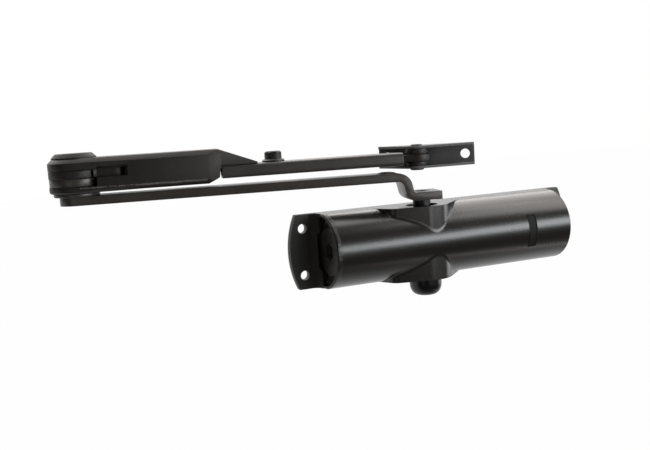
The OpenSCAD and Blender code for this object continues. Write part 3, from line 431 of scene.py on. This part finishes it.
class Workbench:
    """Blender operators that the sub-assemblies share."""

    @staticmethod
    def clear_selection() -> None:
        """Deselects everything."""
        if bpy.context.object and bpy.context.object.mode != "OBJECT":
            bpy.ops.object.mode_set(mode="OBJECT")
        bpy.ops.object.select_all(action="DESELECT")

    @classmethod
    def take(cls, piece: bpy.types.Object) -> None:
        """Selects one object and makes it active."""
        cls.clear_selection()
        piece.select_set(True)
        bpy.context.view_layer.objects.active = piece

    @classmethod
    def select_faces(cls, piece: bpy.types.Object, chosen: Iterable[int]) -> None:
        """Selects faces and enters edit mode.

        Args:
            piece: The object to edit.
            chosen: Indices of its faces.
        """
        cls.take(piece)
        bpy.ops.object.mode_set(mode="EDIT")
        bpy.ops.mesh.select_mode(type="FACE")
        bpy.ops.mesh.select_all(action="DESELECT")
        bpy.ops.object.mode_set(mode="OBJECT")
        for index in chosen:
            piece.data.polygons[index].select = True
        bpy.ops.object.mode_set(mode="EDIT")

    @classmethod
    def modify(cls, piece: bpy.types.Object, kind: str, **settings: Any) -> None:
        """Adds a modifier and applies it.

        Args:
            piece: The object.
            kind: The modifier's type.
            **settings: Its properties.
        """
        cls.take(piece)
        bpy.ops.object.modifier_add(type=kind)
        modifier = piece.modifiers[-1]
        for name, value in settings.items():
            setattr(modifier, name, value)
        bpy.ops.object.modifier_apply(modifier=modifier.name)

    @classmethod
    def settle(cls, piece: bpy.types.Object, place: Matrix | None = None) -> None:
        """Puts an object's place in its mesh and its own transform at the origin.

        Args:
            piece: The object.
            place: A transform to add before.
        """
        if place is not None:
            bpy.context.view_layer.update()
            piece.matrix_world = place @ piece.matrix_world
        cls.take(piece)
        bpy.ops.object.transform_apply(location=True, rotation=True, scale=True)

    @classmethod
    def edit_all(cls, piece: bpy.types.Object) -> None:
        """Enters edit mode with all of an object's mesh selected."""
        cls.take(piece)
        bpy.ops.object.mode_set(mode="EDIT")
        bpy.ops.mesh.select_all(action="SELECT")

    @classmethod
    def face_front(cls, piece: bpy.types.Object) -> None:
        """Turns the faces of a sheet or shell towards the front, if most look back."""
        front = sum(face.normal.y * face.area for face in piece.data.polygons)
        if front > 0:
            cls.edit_all(piece)
            bpy.ops.mesh.flip_normals()
            bpy.ops.object.mode_set(mode="OBJECT")

    @staticmethod
    def arm_frame(pivot: Pair, degrees: float) -> Matrix:
        """The place of an arm whose own x runs along it.

        Args:
            pivot: Where it turns, in millimetres.
            degrees: Which way it points at rest.

        Returns:
            The place, in metres.
        """
        return (Matrix.Translation(Vector((*pivot, 0.0)) * MM)
                @ Matrix.Rotation(math.radians(degrees), 4, "Z"))


@dataclass(frozen=True)
class Rounding:
    """A CAD node that gets rounded edges, with their width, its finish, its body and its slot."""

    node: str
    width: float
    finish: Finish
    body: str
    slot: str = "arm_paint"


@dataclass
class Assembly:
    """What the sub-assemblies have in common.

    Attributes:
        MERGE: Distance within which loose corners are joined.
        FLAT: Largest angle between two faces that become one.
        EDGE_ANGLE: Smallest angle of an edge that is rounded.
        EDGE_SEGMENTS: Number of faces across a rounding.
        materials: The materials by their finish's name.
    """

    MERGE: ClassVar[float] = 0.002
    FLAT: ClassVar[float] = 0.4
    EDGE_ANGLE: ClassVar[float] = 38.0
    EDGE_SEGMENTS: ClassVar[int] = 3

    materials: dict[str, bpy.types.Material]

    def finish_piece(self, piece: bpy.types.Object, name: str, finish: Finish, body: str, slot: str,
                     smooth: float = 32.0) -> None:
        """Shades a piece smooth, names it, paints it and lets it ride.

        Args:
            piece: The object.
            name: Its name.
            finish: Its finish.
            body: The CAD body that it rides on.
            slot: The record's material slot; not used.
            smooth: Largest angle shaded smooth, in degrees.
        """
        Workbench.take(piece)
        bpy.ops.object.shade_smooth_by_angle(angle=math.radians(smooth))
        piece.name = name
        piece.data.name = name
        piece.data.materials.clear()
        piece.data.materials.append(self.materials[finish.name])
        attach(piece, body)
        LOG.info("%s rides on %s", name, body)

    def soften(self, rounding: Rounding) -> None:
        """Stands a copy of a CAD node with rounded edges in its place."""
        node = rounding.node
        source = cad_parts[node]
        piece = source.copy()
        piece.data = source.data.copy()
        piece.parent = None
        piece.matrix_world = Matrix.Identity(4)
        bpy.context.scene.collection.objects.link(piece)
        Workbench.take(piece)
        if piece.data.has_custom_normals:
            bpy.ops.mesh.customdata_custom_splitnormals_clear()
        Workbench.edit_all(piece)
        bpy.ops.mesh.remove_doubles(threshold=self.MERGE * MM)
        bpy.ops.mesh.dissolve_limited(angle_limit=math.radians(self.FLAT))
        bpy.ops.object.mode_set(mode="OBJECT")
        Workbench.modify(piece, "BEVEL", width=rounding.width * MM, segments=self.EDGE_SEGMENTS,
                         limit_method="ANGLE", angle_limit=math.radians(self.EDGE_ANGLE),
                         harden_normals=False, use_clamp_overlap=True)
        self.finish_piece(piece, node + "_rounded", rounding.finish, rounding.body, rounding.slot)
        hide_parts(node)


@dataclass
class BossSeams(Assembly):
    """The small fillets where the round barrel runs into the walls of its two bosses.

    Attributes:
        barrel_r: The barrel's radius.
        barrel_y: Where the barrel's axis is.
        boss_z: Height of the boss's flat top over the barrel's axis.
        discs: Middle and radius of the round parts of the boss's plan.
        ramps: Where the plan's straight ramps meet the barrel's crown.
        radius: Largest reach of the fillet.
        room: Part of the wall's height that the fillet may take where the wall is low.
        lift: How far the fillet stands out from the casting.
        turns: Number of directions in which the plan is read.
        stations: Number of sections along the seam.
        across: Number of faces across the fillet.
        smooth_angle: Largest angle shaded smooth.
    """

    barrel_r: float = 28.0
    barrel_y: float = -14.0
    boss_z: float = 27.95
    discs: Sequence[Triple] = ((2.5, -20.0, 20.5), (-24.5, -25.0, 8.0))
    ramps: Pair = (-38.0, 38.0)
    radius: float = 1.7
    room: float = 0.8
    lift: float = 0.015
    turns: int = 720
    stations: int = 140
    across: int = 5
    smooth_angle: float = 60.0

    def build(self) -> None:
        """Builds the upper and the lower seam."""
        path = self.even_path()
        for side, name in ((1.0, "upper_boss_fillet"), (-1.0, "lower_boss_fillet")):
            Workbench.clear_selection()
            bpy.ops.mesh.primitive_grid_add(x_subdivisions=self.across,
                                            y_subdivisions=self.stations - 1, size=1.0)
            piece = bpy.context.object
            for vertex in piece.data.vertices:
                row, column = divmod(vertex.index, self.across + 1)
                vertex.co = self.section(*path[row], column / self.across, side) * MM
            Workbench.edit_all(piece)
            bpy.ops.mesh.normals_make_consistent(inside=False)
            bpy.ops.object.mode_set(mode="OBJECT")
            Workbench.face_front(piece)
            self.finish_piece(piece, name, CAST_PAINT, "body", "cast_paint", self.smooth_angle)

    def hull_point(self, direction: Vector) -> Vector:
        """The outermost point of the boss's plan in a direction.

        Args:
            direction: A level unit vector.

        Returns:
            The point.
        """
        candidates = [Vector((x, y)) + direction * r for x, y, r in self.discs]
        candidates += [Vector((x, self.barrel_y)) for x in self.ramps]
        return max(candidates, key=direction.dot)

    def even_path(self) -> list[tuple[Vector, Vector]]:
        """Evenly spaced points of the boss's plan with their outward directions.

        Returns:
            Pairs of point and direction, from left to right.
        """
        angles = [math.pi + math.pi * i / self.turns for i in range(self.turns + 1)]
        corners = [self.hull_point(Vector((math.cos(a), math.sin(a)))) for a in angles]
        steps = [(b - a).length for a, b in zip(corners, corners[1:])]
        path, walked, index = [], 0.0, 0
        for number in range(self.stations):
            goal = sum(steps) * (number + 0.5) / self.stations
            while index < len(steps) - 1 and walked + steps[index] < goal:
                walked += steps[index]
                index += 1
            along = (corners[index + 1] - corners[index]).normalized()
            path.append((corners[index] + along * (goal - walked), Vector((along.y, -along.x))))
        return path

    def section(self, point: Vector, outward: Vector, share: float, side: float) -> Vector:
        """A point of the fillet's section.

        Args:
            point: The plan's point.
            outward: The plan's outward direction there.
            share: 0 on the boss's wall, 1 on the barrel.
            side: 1 for the upper boss, -1 for the lower one.

        Returns:
            The point, in millimetres.
        """
        depth = point.y - self.barrel_y
        height = math.sqrt(max(self.barrel_r ** 2 - depth ** 2, 0.0))
        reach = min(self.radius, self.room * max(self.boss_z - height, 0.0))
        normal = Vector((0.0, depth, height)) / self.barrel_r
        level = Vector((outward.x, outward.y, 0.0))
        down = (level - normal * level.dot(normal)).normalized()
        seam = Vector((point.x, point.y, height)) + (level + normal) * self.lift
        wall = seam + Vector((0.0, 0.0, reach))
        foot = seam + down * reach
        radial = Vector((0.0, foot.y - self.barrel_y, foot.z)).normalized()
        foot = Vector((foot.x, self.barrel_y, 0.0)) + radial * (self.barrel_r + self.lift)
        place = wall * (1 - share) ** 2 + seam * 2 * share * (1 - share) + foot * share ** 2
        return Vector((place.x, place.y, place.z * side))


@dataclass
class BodyDressing(Assembly):
    """The bare raised strip round the casting and the burrs in its left recess.

    Attributes:
        barrel_r: The barrel's radius.
        barrel_y: Where the barrel's axis is.
        strip_x: Middle of the strip.
        strip_w: Width of the strip.
        strip_half_angle: How far the strip goes round the barrel each way.
        strip_lift: How far the strip's ground stands out from the barrel.
        strip_rise: How far its border stands out from its ground.
        strip_border: Width of its border.
        strip_cuts: Number of cuts along and across it.
        strip_bevel: Width of the bevel on the border's edges.
        strip_angle: Smallest angle that is bevelled.
        burr_seed: Seed of the burrs' random numbers.
        burr_floor_x: Where the burrs stand on the recess's floor.
        burr_places: Their places in y and z.
        burr_lumps: Smallest and largest radius of a burr's corners, in parts of its size.
        burr_height: How far each stands out.
        burr_width: Smallest and largest half width.
        burr_length: Smallest and largest half length.
        burr_turn: Smallest and largest turn, in radians.
        burr_smooth: Largest angle shaded smooth.
    """

    barrel_r: float = 28.0
    barrel_y: float = -14.0
    strip_x: float = 88.8
    strip_w: float = 7.4
    strip_half_angle: float = 27.0
    strip_lift: float = 0.02
    strip_rise: float = 0.3
    strip_border: float = 0.8
    strip_cuts: int = 31
    strip_bevel: float = 0.08
    strip_angle: float = 40.0
    burr_seed: int = 7
    burr_floor_x: float = -78.0
    burr_places: Sequence[Pair] = ((-18.0, 21.5), (-31.0, 15.0), (-27.0, -20.5), (-14.5, -23.0))
    burr_lumps: Pair = (0.75, 1.15)
    burr_height: float = 0.35
    burr_width: Pair = (0.5, 0.9)
    burr_length: Pair = (0.9, 1.7)
    burr_turn: Pair = (0.0, 3.0)
    burr_smooth: float = 60.0

    def build(self) -> None:
        """Builds the body's own pieces."""
        self.barrel_strip()
        self.burrs()

    def barrel_strip(self) -> None:
        """A bare strip with a raised border that follows the round of the barrel."""
        low, high = (self.strip_x - self.strip_w / 2) * MM, (self.strip_x + self.strip_w / 2) * MM
        radius = (self.barrel_r + self.strip_lift) * MM
        Workbench.clear_selection()
        bpy.ops.mesh.primitive_plane_add(size=1.0, location=(0.0, 0.0, 0.0))
        piece = bpy.context.object
        half = math.radians(self.strip_half_angle)
        corners = [(low, -half), (high, -half), (low, half), (high, half)]
        for vertex, (x, turn) in zip(piece.data.vertices, corners):
            vertex.co = (x, turn, 0.0)
        Workbench.select_faces(piece, [0])
        bpy.ops.mesh.subdivide(number_cuts=self.strip_cuts)
        bpy.ops.object.mode_set(mode="OBJECT")
        for vertex in piece.data.vertices:
            x, turn = vertex.co.x, vertex.co.y
            vertex.co = (x, self.barrel_y * MM - radius * math.cos(turn), radius * math.sin(turn))
        border = [face.index for face in piece.data.polygons if self.on_border(face.center)]
        Workbench.select_faces(piece, border)
        bpy.ops.mesh.extrude_region_shrink_fatten(
            TRANSFORM_OT_shrink_fatten={"value": self.outward(piece) * self.strip_rise * MM})
        bpy.ops.mesh.select_all(action="SELECT")
        bpy.ops.mesh.normals_make_consistent(inside=False)
        bpy.ops.object.mode_set(mode="OBJECT")
        Workbench.modify(piece, "BEVEL", width=self.strip_bevel * MM, segments=2,
                         limit_method="ANGLE", angle_limit=math.radians(self.strip_angle))
        self.finish_piece(piece, "barrel_strip", STRIP_PAINT, "body", "cast_paint")

    def on_border(self, place: Vector) -> bool:
        """Whether a place on the strip lies in its border.

        Args:
            place: The place, in metres.

        Returns:
            True in the border.
        """
        border = self.strip_border * MM
        reach = self.barrel_r * MM * math.sin(math.radians(self.strip_half_angle))
        across = self.strip_w / 2 * MM - abs(place.x - self.strip_x * MM)
        return across < border or reach - abs(place.z) < border

    @staticmethod
    def outward(piece: bpy.types.Object) -> float:
        """1 if the strip's faces look away from the door, or -1."""
        return 1.0 if piece.data.polygons[0].normal.y < 0 else -1.0

    def burrs(self) -> None:
        """Small burrs left by the casting mould, each with a shape of its own."""
        dice = random.Random(self.burr_seed)
        for number, (y, z) in enumerate(self.burr_places, start=1):
            Workbench.clear_selection()
            bpy.ops.mesh.primitive_ico_sphere_add(subdivisions=2, radius=1.0)
            piece = bpy.context.object
            for vertex in piece.data.vertices:
                vertex.co *= dice.uniform(*self.burr_lumps)
            width = dice.uniform(*self.burr_width)
            length = dice.uniform(*self.burr_length)
            piece.scale = Vector((self.burr_height, width, length)) * MM
            piece.rotation_euler = (dice.uniform(*self.burr_turn), 0.0, 0.0)
            piece.location = Vector((self.burr_floor_x, y, z)) * MM
            Workbench.settle(piece)
            Workbench.modify(piece, "SUBSURF", levels=1, render_levels=1)
            self.finish_piece(piece, f"casting_burr_{number}", FLASH_PAINT, "body", "cast_paint",
                              self.burr_smooth)


@dataclass
class ArmDressing(Assembly):
    """The main arm and its elbow with rounded edges, and the swelling behind the arm's bend.

    Attributes:
        rounded: The nodes that get rounded edges.
        pinion: Where the arm turns.
        direction: Which way it points at rest.
        top_z: Height of the bar's top face.
        swelling_at: How far along the bar the swelling is.
        swelling: Half its length, half its width and its height.
        swelling_cut: Where its ball is cut off below, in parts of its height.
        swelling_smooth: Largest angle shaded smooth.
    """

    rounded: Sequence[Rounding] = (
        Rounding("main_arm", 0.7, ARM_PAINT, "arm"),
        Rounding("elbow_spacer", 0.5, ARM_PAINT, "arm"),
        Rounding("elbow_ring", 0.5, ARM_PAINT, "arm"),
        Rounding("hold_open_cam", 0.4, HOUSING_PAINT, "arm"),
        Rounding("elbow_cap", 0.5, ELBOW_CAP_PAINT, "arm"))
    pinion: Pair = (0.0, -23.5)
    direction: float = 165.8
    top_z: float = 53.5
    swelling_at: float = 26.5
    swelling: Triple = (7.0, 9.5, 1.15)
    swelling_cut: float = -0.05
    swelling_smooth: float = 50.0

    def build(self) -> None:
        """Builds the arm's pieces."""
        for rounding in self.rounded:
            self.soften(rounding)
        self.swelling_piece()

    def swelling_piece(self) -> None:
        """A low oval lump on the bar, pushed up by the press that bent it."""
        Workbench.clear_selection()
        bpy.ops.mesh.primitive_uv_sphere_add(segments=40, ring_count=20, radius=1.0)
        piece = bpy.context.object
        Workbench.edit_all(piece)
        bpy.ops.mesh.bisect(plane_co=(0.0, 0.0, self.swelling_cut), plane_no=(0.0, 0.0, 1.0),
                            use_fill=True, clear_inner=True)
        bpy.ops.object.mode_set(mode="OBJECT")
        piece.scale = Vector(self.swelling) * MM
        place = (Workbench.arm_frame(self.pinion, self.direction)
                 @ Matrix.Translation(Vector((self.swelling_at, 0.0, self.top_z)) * MM))
        Workbench.settle(piece, place)
        self.finish_piece(piece, "arm_swelling", ARM_PAINT, "arm", "arm_paint", self.swelling_smooth)


@dataclass
class ForearmDressing(Assembly):
    """Rounded edges from the hold-open housing to the shoe, the casting flash and the roller's guard.

    Attributes:
        rounded: The nodes that get rounded edges.
        elbow: Where the forearm turns.
        direction: Which way it points at rest.
        elbow_r: Radius of the housing's round end.
        shoulder: How far along the forearm the housing has drawn in to its straight wall.
        flash_seed: Seed of the flash's random numbers.
        flash_run: Where the flash starts and ends along the forearm.
        flash_y: Where the housing's front wall is.
        flash_z: Height of the flash.
        flash_steps: Number of steps along it.
        flash_ridge: Least height of its ridge, and what the highest has above that.
        flash_wander: How far its line wanders up and down.
        flash_wave: Turn of the slow wave in that line, in radians per millimetre.
        flash_section: Height, depth and share of the ridge for each point across it.
        flash_smooth: Largest angle shaded smooth.
        guard_path: The guard's plan, from the elbow to the window's far end.
        guard_t: Its thickness.
        wall_start: Where it enters the window, along the forearm.
        guard_lip: Its lower and upper edge before the window.
        guard_z: Its lower and upper edge in the window.
        guard_bevel: Width of the bevel on its edges.
        guard_angle: Smallest angle that is bevelled.
        guard_smooth: Largest angle shaded smooth.
    """

    rounded: Sequence[Rounding] = (
        Rounding("hold_open_housing", 0.45, HOUSING_PAINT, "forearm"),
        Rounding("clamp_bolt", 0.3, BLACK_SCREW, "forearm", "black_screw"),
        Rounding("forearm_rod", 0.5, HOUSING_PAINT, "rod"),
        # The shoe's paint holds painted light: lighter and cooler than the arms' paint, for its shaded
        # web
        Rounding("shoe", 0.45, SHOE_PAINT_WITH_PAINTED_LIGHT, "bracket"),
        Rounding("upper_spacer", 0.4, HOUSING_PAINT, "bracket"),
        Rounding("lower_spacer", 0.4, HOUSING_PAINT, "bracket"))
    elbow: Pair = (-244.30, 38.32)
    direction: float = -13.3
    elbow_r: float = 18.5
    shoulder: float = 45.0
    flash_seed: int = 11
    flash_run: Pair = (4.0, 92.0)
    flash_y: float = -15.0
    flash_z: float = 59.6
    flash_steps: int = 170
    flash_ridge: Pair = (0.08, 0.6)
    flash_wander: float = 0.12
    flash_wave: float = 0.35
    flash_section: Sequence[Triple] = (
        (-0.9, 0.5, 0.0), (-0.35, 0.0, -0.3), (0.0, 0.0, -1.0), (0.35, 0.0, -0.3), (0.9, 0.25, 0.0))
    flash_smooth: float = 30.0
    guard_path: Sequence[Pair] = (
        (13.7, -13.1), (14.8, -11.95), (15.9, -11.65), (16.4, -11.5), (18.0, -11.3), (28.2, -11.3),
        (30.6, -10.9), (32.5, -9.9), (33.7, -8.4), (34.3, -6.7))
    guard_t: float = 0.4
    wall_start: float = 16.0
    guard_lip: Pair = (66.5, 72.1)
    guard_z: Pair = (66.0, 73.4)
    guard_bevel: float = 0.1
    guard_angle: float = 50.0
    guard_smooth: float = 40.0

    def build(self) -> None:
        """Builds the forearm's pieces."""
        for rounding in self.rounded:
            self.soften(rounding)
        self.casting_flash()
        self.roller_guard()

    def roller_guard(self) -> None:
        """The thin guard in front of the roller, which fills the window and rides on the carrier."""
        Workbench.clear_selection()
        bpy.ops.mesh.primitive_grid_add(x_subdivisions=1, y_subdivisions=len(self.guard_path) - 1,
                                        size=1.0)
        piece = bpy.context.object
        for row, (along, depth) in enumerate(self.guard_path):
            edges = self.guard_z if along > self.wall_start else self.guard_lip
            for column, height in enumerate(edges):
                vertex = piece.data.vertices[row * len(edges) + column]
                vertex.co = Vector((along, depth, height)) * MM
        Workbench.modify(piece, "SOLIDIFY", thickness=self.guard_t * MM, offset=1.0)
        Workbench.modify(piece, "BEVEL", width=self.guard_bevel * MM, segments=2,
                         limit_method="ANGLE", angle_limit=math.radians(self.guard_angle))
        Workbench.settle(piece, Workbench.arm_frame(self.elbow, self.direction))
        Workbench.face_front(piece)
        self.finish_piece(piece, "roller_guard", HOUSING_PAINT, "carrier", "arm_paint",
                          self.guard_smooth)

    def casting_flash(self) -> None:
        """The ragged ridge that the mould left along the housing's lower front edge."""
        dice = random.Random(self.flash_seed)
        start, end = self.flash_run
        least, rise = self.flash_ridge
        reach = self.flash_wander
        points = len(self.flash_section)
        Workbench.clear_selection()
        bpy.ops.mesh.primitive_grid_add(x_subdivisions=points - 1, y_subdivisions=self.flash_steps,
                                        size=1.0)
        piece = bpy.context.object
        for row in range(self.flash_steps + 1):
            along = start + (end - start) * row / self.flash_steps
            ridge = least + rise * dice.random() ** 3
            widening = (self.elbow_r + self.flash_y) * max(1.0 - along / self.shoulder, 0.0)
            wander = reach * math.sin(along * self.flash_wave) + dice.uniform(-reach, reach)
            for column, (height, depth, share) in enumerate(self.flash_section):
                vertex = piece.data.vertices[row * points + column]
                vertex.co = Vector((along, self.flash_y - widening + (depth + share * ridge),
                                    self.flash_z + wander + height)) * MM
        Workbench.settle(piece, Workbench.arm_frame(self.elbow, self.direction))
        Workbench.face_front(piece)
        self.finish_piece(piece, "casting_flash", FLASH_PAINT, "forearm", "arm_paint",
                          self.flash_smooth)


@dataclass(frozen=True)
class Lamp:
    """A soft rectangular lamp: its place, its width and height in metres, its watts and its colour."""

    STEEP: ClassVar[float] = 0.9

    name: str
    place: Triple
    size: Pair
    power: float
    colour: Colour

    def hang(self, aim: Triple) -> None:
        """Adds the lamp, which looks at a point.

        Args:
            aim: The point, in millimetres.
        """
        data = bpy.data.lights.new(self.name, "AREA")
        data.shape = "RECTANGLE"
        data.size, data.size_y = self.size
        data.energy = self.power
        data.color = self.colour
        item = bpy.data.objects.new(self.name, data)
        look = (Vector(aim) - Vector(self.place)).normalized()
        across = look.cross(Vector((0.0, 0.0, 1.0)))
        if abs(look.z) > self.STEEP:
            across = Vector((1.0, 0.0, 0.0))
        across = (across - look * across.dot(look)).normalized()
        item.matrix_world = (Matrix.Translation(Vector(self.place) * MM)
                             @ Matrix((across, across.cross(look), -look)).transposed().to_4x4())
        bpy.context.scene.collection.objects.link(item)


@dataclass
class Studio:
    """Camera, floor, world and lamps.

    Attributes:
        focal_px: The photograph's focal length, in pixels.
        picture_w: Its width, in pixels.
        sensor: Width of the camera's sensor.
        clip: Nearest and farthest distance that the camera sees, in metres.
        yaw: How far the camera looks to the right of straight ahead.
        pitch: How far it looks down.
        roll: How far it leans.
        place: Where it stands.
        floor_z: Height of the floor.
        floor_size: Its width and depth, in metres.
        floor_behind: Where mirrored floor turns white, from front to back, in metres.
        floor_colour: Its colour under the lamps.
        floor_white: How white it is to the camera.
        front_colour: Colour of the dim world in front of the object.
        front_strength: Its strength.
        behind_from: Where the world turns white, by the y of the direction.
        behind_blend: Width over which it turns.
        aim: What the lamps look at.
        lamps: The lamps.
    """

    focal_px: float = 857.15
    picture_w: int = 650
    sensor: float = 36.0
    clip: Pair = (0.01, 60.0)
    yaw: float = 23.26
    pitch: float = 6.9
    roll: float = -3.6
    place: Triple = (-324.44, -589.84, 95.40)
    floor_z: float = -1250.0
    floor_size: float = 40.0
    floor_behind: Pair = (-0.7, 0.4)
    floor_colour: Colour = (0.2, 0.2, 0.2)
    floor_white: float = 0.99
    front_colour: Colour = (1.0, 0.94, 0.88)
    front_strength: float = 0.1
    behind_from: float = 0.5
    behind_blend: float = 0.3
    aim: Triple = (-60.0, -10.0, 20.0)
    lamps: Sequence[Lamp] = (
        Lamp("overhead", (60.0, 650.0, 1150.0), (2.4, 1.7), 39.0, (1.0, 0.96, 0.93)),
        Lamp("overhead_right", (1150.0, -400.0, 1150.0), (0.9, 0.72), 7.6, (1.0, 0.96, 0.93)),
        Lamp("front_strip", (900.0, -1180.0, 185.0), (1.1, 0.4), 11.8, (0.95, 0.98, 1.0)),
        Lamp("front_centre", (170.0, -1300.0, -30.0), (0.3, 0.25), 1.2, (1.0, 0.98, 0.95)),
        Lamp("low_strip", (970.0, -620.0, -1190.0), (0.9, 0.05), 0.6, (1.0, 0.97, 0.93)),
        Lamp("left_box", (-1050.0, -1050.0, -50.0), (0.5, 0.4), 0.6, (1.0, 0.98, 0.95)),
        Lamp("right_box", (1500.0, -150.0, 120.0), (0.6, 0.9), 6.0, (0.95, 0.97, 1.0)))

    def build(self) -> None:
        """Sets the studio up."""
        self.camera()
        self.floor()
        self.world()
        for lamp in self.lamps:
            lamp.hang(self.aim)
        bpy.context.scene.view_settings.view_transform = "Standard"

    def camera(self) -> None:
        """Adds the camera at the photograph's angle."""
        yaw, pitch, roll = (math.radians(a) for a in (self.yaw, self.pitch, self.roll))
        ahead = Vector((math.sin(yaw) * math.cos(pitch), math.cos(yaw) * math.cos(pitch),
                        -math.sin(pitch)))
        level = Vector((math.cos(yaw), -math.sin(yaw), 0.0))
        above = level.cross(ahead)
        right = math.cos(roll) * level + math.sin(roll) * above
        up = math.cos(roll) * above - math.sin(roll) * level
        data = bpy.data.cameras.new("camera")
        data.sensor_fit = "HORIZONTAL"
        data.sensor_width = self.sensor
        data.lens = self.focal_px * self.sensor / self.picture_w
        data.clip_start, data.clip_end = self.clip
        item = bpy.data.objects.new("camera", data)
        item.matrix_world = (Matrix.Translation(Vector(self.place) * MM)
                             @ Matrix((right, up, -ahead)).transposed().to_4x4())
        bpy.context.scene.collection.objects.link(item)
        bpy.context.scene.camera = item

    def floor(self) -> None:
        """Adds the pale floor, which shows white to the camera and keeps shadows."""
        Workbench.clear_selection()
        bpy.ops.mesh.primitive_plane_add(size=self.floor_size,
                                         location=(0.0, 0.0, self.floor_z * MM))
        plane = bpy.context.object
        plane.name = "floor"
        shader = Shader(bpy.data.materials.new("pale_floor"))
        path = shader.node("ShaderNodeLightPath")
        _, depth, _ = shader.axes(shader.node("ShaderNodeTexCoord").outputs["Object"])
        front, back = self.floor_behind
        behind = 1.0 - depth.below(back, back - front)
        seen = (Signal(shader, path.outputs["Is Camera Ray"])
                + Signal(shader, path.outputs["Is Glossy Ray"]) * behind).clamped()
        pale = shader.node("ShaderNodeBsdfDiffuse", None, {"Color": (*self.floor_colour, 1.0)})
        glow = shader.node("ShaderNodeEmission", None, {"Color": (1.0, 1.0, 1.0, 1.0),
                                                        "Strength": 1.0})
        blend = shader.node("ShaderNodeMixShader", None,
                            {0: seen * self.floor_white, 1: pale.outputs[0], 2: glow.outputs[0]})
        shader.node("ShaderNodeOutputMaterial", None, {"Surface": blend.outputs[0]})
        plane.data.materials.append(shader.owner)

    def world(self) -> None:
        """White for the camera and behind the object, dim in front of it."""
        world = bpy.data.worlds.new("studio")
        bpy.context.scene.world = world
        shader = Shader(world)
        path = shader.node("ShaderNodeLightPath")
        _, depth, _ = shader.axes(shader.node("ShaderNodeTexCoord").outputs["Generated"])
        behind = 1.0 - depth.below(self.behind_from + self.behind_blend, self.behind_blend)
        white_part = (Signal(shader, path.outputs["Is Camera Ray"]) + behind).clamped()
        dim = shader.node("ShaderNodeBackground", None, {"Color": (*self.front_colour, 1.0),
                                                         "Strength": self.front_strength})
        white = shader.node("ShaderNodeBackground", None, {"Color": (1.0, 1.0, 1.0, 1.0),
                                                           "Strength": 1.0})
        blend = shader.node("ShaderNodeMixShader", None,
                            {0: white_part, 1: dim.outputs[0], 2: white.outputs[0]})
        shader.node("ShaderNodeOutputWorld", None, {"Surface": blend.outputs[0]})


def make_materials() -> dict[str, bpy.types.Material]:
    """Makes every finish's material and paints the CAD nodes.

    Returns:
        The materials by their finish's name.
    """
    materials = {}
    for finish, nodes in FINISHES.items():
        materials[finish.name] = finish.material()
        for node in nodes:
            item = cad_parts[node]
            for slot in item.material_slots:
                slot.material = materials[finish.name]
            if not item.material_slots:
                item.data.materials.append(materials[finish.name])
    LOG.info("%d finishes", len(materials))
    return materials


def main() -> None:
    """Builds the studio and the dressed door closer."""
    logging.basicConfig(level=logging.INFO)
    Studio().build()
    materials = make_materials()
    for assembly in (BossSeams, BodyDressing, ArmDressing, ForearmDressing):
        assembly(materials).build()
        LOG.info("%s done", assembly.__name__)
    Workbench.clear_selection()


if __name__ == "__main__":
    main()
